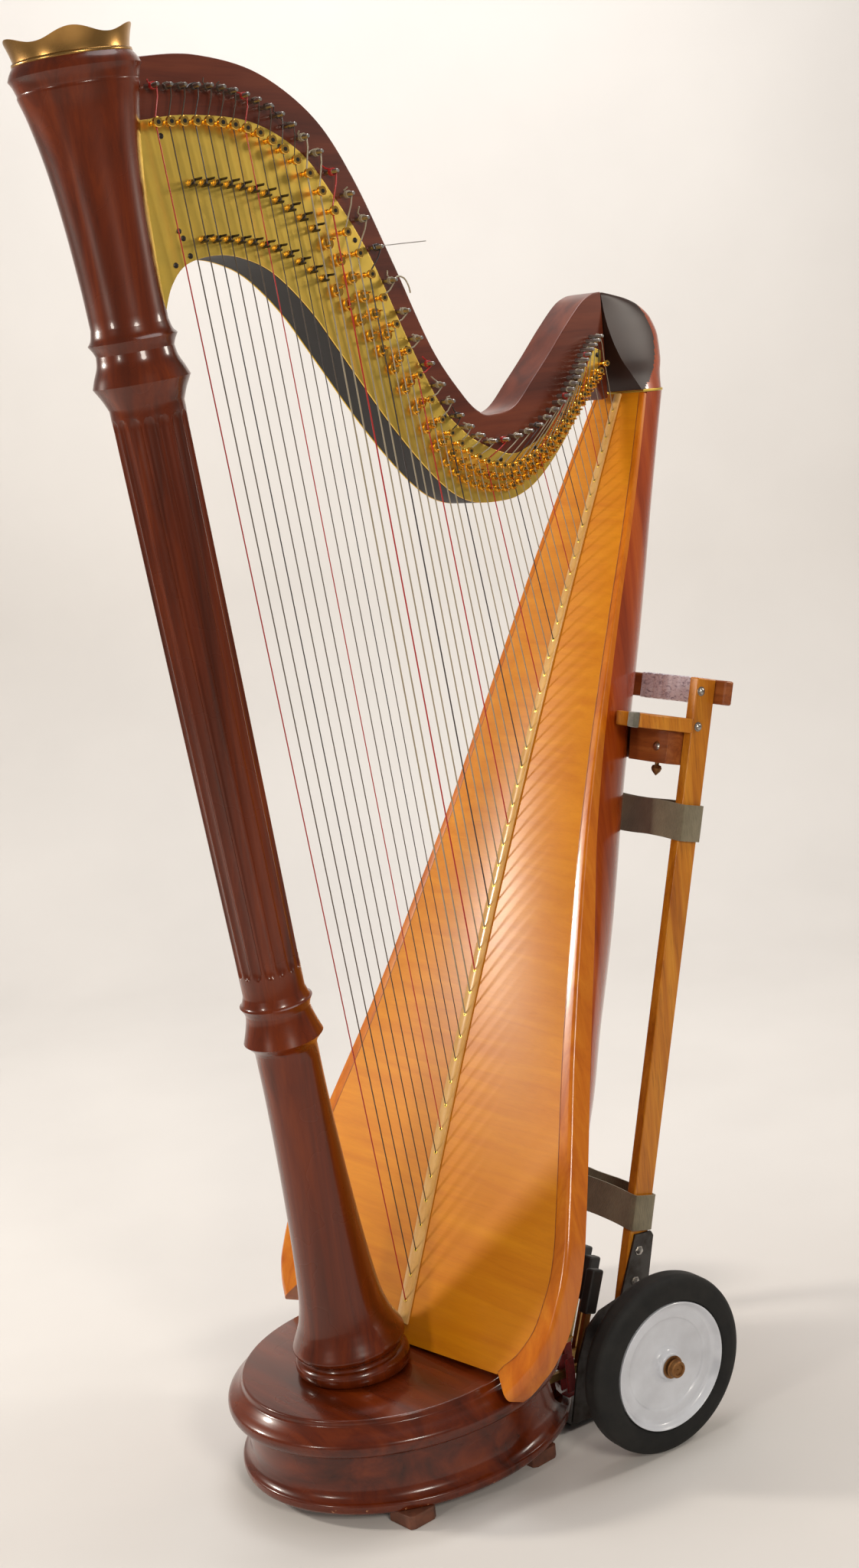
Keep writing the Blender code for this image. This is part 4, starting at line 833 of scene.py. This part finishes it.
def build_strings():
    """Every string from its eyelet over the bridge pin to the coil on its tuning pin."""
    groups = [Build() for _ in STRING_KINDS]
    eyelets, holes, bridge, pins = Build(), Build(), Build(), Build()
    forks, fork_boss, discs = Build(), Build(), Build()
    out = Vector((0, -1, 0))
    for i in range(1, N_STRINGS + 1):
        r, g = string_radius(i), groups[string_kind(i)]
        s = string_foot(i)
        foot = board_point(s, 0, belly(s) + 0.0033)
        bx, bz = bridge_spot(i)
        head = skew(bx, bz, -STRING_PLANE)
        run = (head - foot).normalized()
        across = run.cross(out).normalized()
        big = min(1.0, max(0.0, (30 - i) / 16))
        knob = 0.0042 + 0.0018 * big
        tx, tz = tuning_spot(i)
        pin = skew(tx, tz, 0)
        at_pin = skew(tx, tz, -STRING_PLANE)
        over = at_pin - head
        side = across if over.dot(across) > 0 else -across
        stem = 0.0024
        groove = head - side * (stem + r) * 0.6
        coil_r = 0.0028 + r
        reach = Vector((over.x, 0, over.z)).normalized()
        flank = Vector((reach.z, 0, -reach.x))
        start = at_pin + flank * coil_r
        g.tube([foot - run * 0.004, foot + run * 0.03, groove - run * 0.004, groove + reach * 0.004,
                start - reach * 0.012, start], r, 8)
        turns = 3.4 if i <= LAST_LARGE else 2.6
        path = []
        for k in range(int(turns * 12) + 1):
            q = 2 * math.pi * k / 12
            y = (k / 12) * 2.15 * r
            path.append(at_pin + coil_r * (math.cos(q) * flank + math.sin(q) * reach) + Vector((0, y, 0)))
        tail = (path[-1] - path[-2]).normalized()
        bend = Vector((RNG.uniform(-1, 1), RNG.uniform(-0.9, 0.1), RNG.uniform(-0.3, 1))).normalized()
        size = RNG.uniform(0.006, 0.012) * (1.0 if i <= LAST_LARGE else 0.6)
        path += [path[-1] + tail * size * 0.4 + bend * size * 0.3, path[-1] + tail * size * 0.5 + bend * size]
        g.tube(path, r * 1.05, 6)
        # eyelet in the strip
        up = board_point(s, 0, 1) - board_point(s, 0, 0)
        ring = 0.003 - 0.0008 * i / N_STRINGS
        eyelets.turned([(0.0, ring), (0.0007, ring * 0.95), (0.0008, ring * 0.62)], foot - up * 0.0003, up, 16)
        # dark disc in the eyelet: painted shade of its hole
        holes.turned([(0.0, ring * 0.62), (0.0006, ring * 0.6)], foot - up * 0.0001, up, 12)
        # bridge pin with its grooved head
        depth = STRING_PLANE - PLATE_FACE
        at = skew(bx, bz, -PLATE_FACE + 0.0006)
        bridge.turned([(0, stem + 0.001), (0.0016, stem + 0.0009), (0.0018, stem), (depth - 0.0012, stem),
                       (depth - 0.0008, knob * 0.95), (depth - 0.0002, knob), (depth + 0.0008, stem * 1.2),
                       (depth + 0.002, knob), (depth + 0.0044, knob), (depth + 0.005, knob * 0.86)],
                      at, out, 20)
        # dark disc on the pin head: painted shade of its hole
        holes.turned([(0.0, knob * 0.42), (0.0004, knob * 0.42)], at + out * (depth + 0.005), out, 10)
        # tuning pin: right through the neck
        pins.turned(mm((-46, 2.3), (-33, 2.3), (-32, 3.1), (30, 3.1), (31, 2.7), (52.5, 2.6), (53.8, 2)),
                    pin, out, 12)
        if i < FIRST_STOP or i == N_STRINGS:
            continue
        speaking = (head - foot).length
        k = 0.8 + 0.2 * min(1.0, (i - FIRST_STOP) / 9)
        for row, share in ((0, 0.0561), (1, 0.1091)):
            c = head - run * speaking * share * k
            face = Vector((c.x, skew(c.x, c.z, -PLATE_FACE).y, c.z))
            gap = c.y - face.y
            turn = math.radians(38 if row == 0 else 30)
            spread = math.cos(turn) * across + math.sin(turn) * run
            if i <= LAST_FORK:
                fork_boss.turned(mm((-1, 4.6), (2.2, 4.6), (2.6, 4), (5.2, 3.8)),
                                 face, out, 20)
                for sgn in (-1, 1):
                    mid = face + spread * (sgn * 0.0052) + out * (0.0026 + 0.5 * (abs(gap) + 0.004))
                    forks.bar(mid, (abs(gap) + 0.0065, 0.0022, 0.0018), (out, spread, run))
                forks.bar(face + out * 0.0046, (0.002, 0.0105, 0.0034), (out, spread, run))
            else:
                rad = 0.0055 + 0.0028 * big
                discs.turned([(-0.001, rad * 0.7), (0.0035, rad * 0.7), (0.0038, rad), (0.0066, rad),
                              (0.0072, rad * 0.9), (0.0074, 0.0014)], face, out, 22)
                # dark disc on the disc's face: painted shade of its centre hole
                holes.turned(mm((0, 1.5), (0.5, 1.5)), face + out * 0.0072, out, 10)
                for sgn in (-1, 1):
                    a = face + spread * (sgn * rad * 0.68) + out * 0.0066
                    length = abs(gap) - 0.003
                    discs.turned([(0, 0.0013), (length, 0.0013), (length + 0.0005, 0.0009)], a, out, 10)
    for (tag, material), group in zip(STRING_KINDS, groups):
        group.make("strings_" + tag, material, slot="string_" + tag, angle=60)
    eyelets.make("string_eyelets", PLATE_BRASS, slot="plate_brass")
    holes.make("pin_recess_painted_shade", HOLE_SHADE, slot="string_black")
    bridge.make("bridge_pins", GOLD, slot="disc_gold", angle=30)
    pins.make("tuning_pins", STEEL, slot="pin_steel", angle=30)
    forks.make("fork_prongs", DARK_STEEL, slot="pin_steel", bevel=0.0003)
    fork_boss.make("fork_bosses", GOLD, slot="disc_gold", angle=30)
    discs.make("fork_discs", GOLD, slot="disc_gold", angle=30)


def build_neck_details():
    """Plate screws with painted shade in their slots, and the two stray wire ends."""
    screws, slots = Build(), Build()
    out = Vector((0, -1, 0))
    spots = mm((-95, 1745), (-86, 1640), (-81, 1632), (-96, 1602), (-74, 1612), (75, 1735), (178, 1625),
               (246, 1490), (300, 1400), (395, 1336), (462, 1345), (517, 1387), (560, 1425), (598, 1462))
    for x, z in spots:
        at = skew(x, z, -PLATE_FACE + 0.0002)
        screws.turned(mm((0, 3.4), (0.6, 3.3), (1.2, 2.2), (1.3, 0.3)), at, out, 18)
        # dark bar across the screw head: painted shade of its slot
        slots.bar(at + out * 0.0012, (0.0058, 0.0006, 0.0007), ((1, 0, 0.4), out, (-0.4, 0, 1)))
    screws.make("plate_screws", DARK_STEEL, slot="pin_steel")
    slots.make("plate_screw_slot_painted_shade", HOLE_SHADE, slot="string_black")
    ends = Build()
    x, z = tuning_spot(18)
    a = skew(x, z, -STRING_PLANE + 0.003)
    ends.tube([a, a + Vector((0.012, 0.004, 0.002)), a + Vector((0.045, 0.004, 0.004)),
               a + Vector((0.083, 0.002, 0.006))], 0.0006, 8)
    ends.make("wire_end_straight", STEEL, slot="string_wire", angle=60)
    x, z = tuning_spot(19)
    b = skew(x, z, -STRING_PLANE - 0.002)
    curl = spline([b, b + Vector((0.006, -0.003, 0.004)), b + Vector((0.014, -0.005, 0.001)),
                   b + Vector((0.019, -0.006, -0.008)), b + Vector((0.021, -0.006, -0.017))], 5)
    Build().tube(curl, 0.0011, 8).make("gut_end_bent", GUT, slot="string_gut", angle=60)


# ----------------------------------------------------------------------- pedals
def build_pedals():
    carry("pedal_rod", STEEL, 0)
    felts = Build()
    for tag, y in PEDALS.items():
        carry("lever_" + tag, PEDAL_BRASS, 0.0007)
        carry("arm_" + tag, PEDAL_BRASS, 0.0007)
        carry("cap_" + tag, CAP_RUBBER, 0.0016)
        xp = wall_x(y) + PIVOT_OUT
        rivet = Build().turned(mm((0, 5.2), (1.2, 4.8), (2, 3), (2.2, 0.4)),
                               (xp, y + PEDAL_HALF + 0.0085, PIVOT_Z), (0, 1, 0), 20)
        rivet.turned(mm((0, 4), (1, 3.4), (1.3, 0.4)),
                     (xp, y - PEDAL_HALF, PIVOT_Z), (0, -1, 0), 20)
        rivet.make("rivet_" + tag, STEEL, "pedal_" + tag, "steel")
        for side in (-1, 1):
            felts.bar((wall_x(y) - 0.0035, y + side * 0.0066, 0.0715), (0.016, 0.0032, 0.052))
        felts.bar((wall_x(y) - 0.0035, y, 0.0401), (0.016, 0.016, 0.0028))
    felts.make("pedal_slot_felts", RED_FELT, slot="red_felt", bevel=0.001)


# ------------------------------------------------------------------------- cart
def build_wheel(tag, side):
    """Solid rubber tyre on a dished, enamelled steel hub."""
    out = cart(0, side, 0) - cart(0, 0, 0)
    at = cart(AXLE_X, 0, WHEEL_R) + out * WHEEL_FACE    # centre of the wheel's outer face
    r0, r1, w = HUB_R - 0.0007, WHEEL_R, WHEEL_T
    tyre = runs(
        [(-0.004, r0), (-0.0008, r0 + 0.003), (0, r0 + 0.008), (-0.0003, r1 - 0.016)],
        [(-0.0025, r1 - 0.008), (-0.007, r1 - 0.0022), (-0.013, r1)],
        [(-w / 2, r1), (0.013 - w, r1)],
        [(0.007 - w, r1 - 0.0022), (0.0025 - w, r1 - 0.008), (0.0003 - w, r1 - 0.016)],
        [(-w, r0 + 0.008), (0.0008 - w, r0 + 0.003), (0.004 - w, r0)], per=4)
    tyre += [(0.006 - w, r0 - 0.001), (-0.006, r0 - 0.001)]
    Build().turned(tyre, at, out, 128, closed=True).make(
        "tyre_" + tag, RUBBER, "wheel_" + tag, "tyre", "cart_tyre_" + tag)
    hub = runs(
        mm((-1.5, 8.4), (-1.5, 15)),
        mm((-3, 18), (-9.5, 20.5), (-13.5, 26)),
        mm((-15, 40), (-15, 56), (-13, 64)),
        mm((-11, 66.5), (-10.5, 72), (-10.8, 79)),
        mm((-8.5, 83.5), (-3, 86.8), (-0.4, 88.5)),
        mm((0.2, 89.5), (-0.6, 90.3)),
        [(-0.02, 0.09), (0.0025 - w, 0.09)], per=5)
    hub += [(0.0025 - w, 0.0865), (-0.022, 0.078), (-0.022, 0.022),
            (-w - 0.0035, 0.016), (-w - 0.0035, 0.0084)]
    Build().turned(hub, at, out, 96, closed=True).make(
        "hub_" + tag, ENAMEL, "wheel_" + tag, "hub_white", "cart_hub_" + tag)
    washer = Build().turned(mm((0.2, 8.5), (0.2, 16), (1.8, 15.8), (2, 8.5)), at, out, 40, closed=True)
    washer.make("washer_" + tag, RUST, slot="nut_brass")
    nut = Build().turned(mm((4.5, 13), (6, 13.2), (6.8, 11.8), (12.5, 11.6), (14, 10.4), (14.2, 7.8), (11.8, 7),
                            (11.2, 0.8), (4.5, 0.8)), at, out, 48,
                         closed=True)
    nut.make("collar_" + tag, RUST, slot="nut_brass", replaces="cart_nut_" + tag, angle=30)


def strap_path(deep):
    """Route of a strap round both posts, as (forward, across) points; deep is the front's sag."""
    o, front, back = POST_HALF + 0.0055, 0.0012, -POST_W - 0.0012
    path = [(back + 0.002, -o), (-0.5 * POST_W, -o - 0.001), (front - 0.002, -o), (front, -o + 0.003),
            (front + 0.001, -o + 0.012), (front, -0.15)]
    for k in range(9):
        u = -0.12 + 0.24 * k / 8
        path.append((front - deep * math.cos(math.pi * u / 0.26), u))
    path += [(front, 0.15), (front + 0.001, o - 0.012), (front, o - 0.003), (front - 0.002, o),
             (-0.5 * POST_W, o + 0.001), (back + 0.002, o), (back, o - 0.003), (back - 0.001, o - 0.012)]
    loose = 0.016 if deep > 0 else 0.003
    path += [(back - 0.75 * loose, 0.1), (back - loose, 0.0), (back - 0.75 * loose, -0.1)]
    return path + [(back - 0.001, -o + 0.012), (back, -o + 0.003)]


def build_strap(name, h, deep, node, droop):
    """Webbing loop; its edges waver and it twists a little where it hangs free."""
    path = closed_spline(strap_path(deep), 4)
    n, t, rows = len(path), 0.0011, 6
    loops = []
    for k, p in enumerate(path):
        d = path[(k + 1) % n] - path[k - 1]
        d /= np.linalg.norm(d)
        normal = np.array([-d[1], d[0]])
        free = max(0.0, 1 - abs(p[1]) / 0.15)
        ring = []
        for side in (1, -1):
            for j in (range(rows + 1) if side == 1 else range(rows, -1, -1)):
                v = j / rows
                wave = 0.0012 * math.sin(5 * v + 9 * p[1] * 6) * free
                q = p + normal * (side * t + wave + 0.0012)
                ring.append(lean(q[0], q[1], h + STRAP_W * v - droop * free * (1 - 0.3 * v)
                                 + 0.001 * math.sin(40 * p[1])))
        loops.append(ring)
    strap = Build().skin(loops, closed=True).make(name, WEB, slot="webbing", replaces=node, angle=60)


def bolt(build, f, y, h, r, side, hexed=False):
    """Dome or hex head on the outer face of a post."""
    out = cart(0, side, 0) - cart(0, 0, 0)
    at = lean(f, y, h)
    build.turned([(0, r * 1.35), (0.0008, r * 1.35), (0.001, r), (0.003, r * (1.0 if hexed else 0.85)),
                  (0.0042, r * 0.5), (0.0045, 0.0004)], at, out, 6 if hexed else 24)


def build_cart():
    for tag, side in (("near", -1), ("far", 1)):
        carry("cart_post_" + tag, CART_WOOD, 0.0022)
        carry("cart_plate_" + tag, CART_STEEL, 0.0008)
        carry("cart_axle_" + tag, CART_STEEL, 0.0004)
        carry("cart_felt_" + tag, GREY_FELT, 0.0018)
        build_wheel(tag, side)
    carry("cart_handle", CART_DARK, 0.003)
    carry("cart_cradle", CART_WOOD, 0.0022)
    # crosspiece in the darker copy of the cart wood: painted shade
    carry("cart_crosspiece", CART_DARK, 0.0015)
    carry("cart_toe", CART_STEEL, 0.0006)
    build_strap("strap_upper", 0.826, 0.03, "cart_strap_upper", 0.004)
    build_strap("strap_lower", 0.27, 0.0, "cart_strap_lower", 0.001)
    bolts = Build()
    for s in (-1, 1):
        y = s * POST_HALF
        bolt(bolts, -0.008, y, 1.034, 0.0048, s)
        bolt(bolts, -0.01, y, 0.985, 0.0048, s)
        bolt(bolts, -0.017, s * (POST_HALF + 0.0043), 0.2395, 0.0052, s, True)
        bolt(bolts, -0.017, s * (POST_HALF + 0.0043), 0.195, 0.0052, s, True)
    out = lean(1, 0, 0) - lean(0, 0, 0)
    for y in (-0.14, 0.14):
        bolts.turned(mm((0, 6.5), (0.8, 6.2), (2.2, 4), (2.4, 0.4)),
                     lean(0.026, y, 0.952), out, 24)
    bolts.make("cart_bolts", STEEL, slot="steel", angle=30)
    down = lean(0, 0, -1) - lean(0, 0, 0)
    finial = Build().turned(mm((0, 3), (4, 3), (5, 6.2), (9, 7.5), (13, 6), (17, 2.4), (19, 0.4)),
                            lean(0.004, -0.12, 0.929), down, 24)
    finial.make("cradle_bolt_end", RUST, slot="nut_brass")
    wrap = Build()
    for s in (-1, 1):
        y0, y1 = s * 0.02, s * 0.15
        loops = []
        for k in range(41):
            y = y0 + (y1 - y0) * k / 40
            fat = 0.001 + 0.0004 * math.sin(k * 2.1) + 0.0003 * math.sin(k * 5.3)
            f0, f1, h0, h1 = -POST_W - 0.0003 + fat, -POST_W - 0.0165 - fat, 1.0185 - fat, 1.0525 + fat
            loops.append([lean(f0, y, h0), lean(f0, y, h1), lean(f1, y, h1), lean(f1, y, h0)])
        wrap.skin(loops)
    wrap.make("handle_tape", TAPE, slot="tape_silver", bevel=0.002)


# -------------------------------------------------------------- floor and light
def build_stage():
    floor = bpy.data.meshes.new("studio_floor")
    far = Vector((0.665, 0.747, 0.0))            # horizontal direction of view
    right = Vector((far.y, -far.x, 0.0))
    rows = [(-4.5, 0.0), (2.2, 0.0)] + [(2.2 + 0.9 * math.sin(q), 0.9 - 0.9 * math.cos(q))
                                         for q in steps(0.1, math.pi / 2, 14)] + [(3.1, 6.0)]
    verts, faces = [], []
    for d, z in rows:
        verts += [far * d + right * x + Vector((0, 0, z)) for x in (-7.0, 7.0)]
    for k in range(len(rows) - 1):
        faces.append((2 * k, 2 * k + 1, 2 * k + 3, 2 * k + 2))
    floor.from_pydata(verts, [], faces)
    floor.shade_smooth()
    mat = Mat("studio_paper", rgb(214, 210, 206), 0.75)
    mat.into("Base Color", mat.mix(mat.noise(mat.coords(), 2.0), rgb(218, 214, 210), rgb(206, 202, 198)))
    floor.materials.append(mat.m)
    link("studio_floor", floor)


def light(name, at, target, size, power, colour=(1, 1, 1)):
    data = bpy.data.lights.new(name, "AREA")
    data.shape, data.size, data.energy, data.color = "DISK", size, power, colour
    ob = link(name, data)
    ob.location = Vector(at) + OFFSET
    ob.rotation_euler = (Vector(target) - Vector(at)).to_track_quat("-Z", "Y").to_euler()


def build_lights():
    warm = (1.0, 0.93, 0.83)
    light("key_light", (-2.1, 2.5, 1.95), (0.25, 0.0, 0.8), 0.42, 72, warm)
    light("front_fill", (-1.0, -3.6, 2.4), (0.15, 0.0, 0.9), 0.9, 62, warm)
    light("left_fill", (-3.4, -0.4, 1.6), (0.1, 0.0, 0.9), 0.5, 24, warm)
    light("right_rim", (2.6, -1.2, 2.2), (0.4, 0.0, 0.9), 0.6, 24, warm)
    light("top_wash", (0.6, 0.4, 4.2), (0.6, 0.6, 0.0), 2.6, 58)
    light("wall_wash", (0.9, 0.9, 3.4), (2.0, 2.25, 1.3), 1.4, 40)
    world = bpy.data.worlds.new("studio_world")
    world.use_nodes = True
    background = world.node_tree.nodes["Background"]
    background.inputs["Color"].default_value = (1.0, 0.96, 0.93, 1)
    background.inputs["Strength"].default_value = 0.2
    bpy.context.scene.world = world
    bpy.context.scene.view_settings.view_transform = "Standard"


def build_camera():
    """Shift-lens camera at a standing viewer's height, a little tilted."""
    azimuth, elevation, roll = math.radians(-41.588), math.radians(13.861), math.radians(-5.02)
    back = Vector((math.sin(azimuth) * math.cos(elevation), -math.cos(azimuth) * math.cos(elevation),
                   math.sin(elevation)))
    right = (-back).cross(Vector((0, 0, 1))).normalized()
    up = right.cross(-back)
    c, s = math.cos(roll), math.sin(roll)
    axes = Matrix((c * right + s * up, -s * right + c * up, back)).transposed()
    data = bpy.data.cameras.new("studio_camera")
    data.sensor_width, data.lens = 36.0, 46.91
    data.shift_x, data.shift_y = -0.0663, 0.0587
    cam = link("studio_camera", data)
    cam.matrix_world = Matrix.Translation(Vector((-1.4818, -2.1228, 1.4492)) + OFFSET) @ axes.to_4x4()
    bpy.context.scene.camera = cam


for build in (build_camera, build_base, build_column, build_crown, build_board, build_shell, build_shoulder,
              build_neck, build_strings, build_neck_details, build_pedals, build_cart, build_stage, build_lights):
    build()
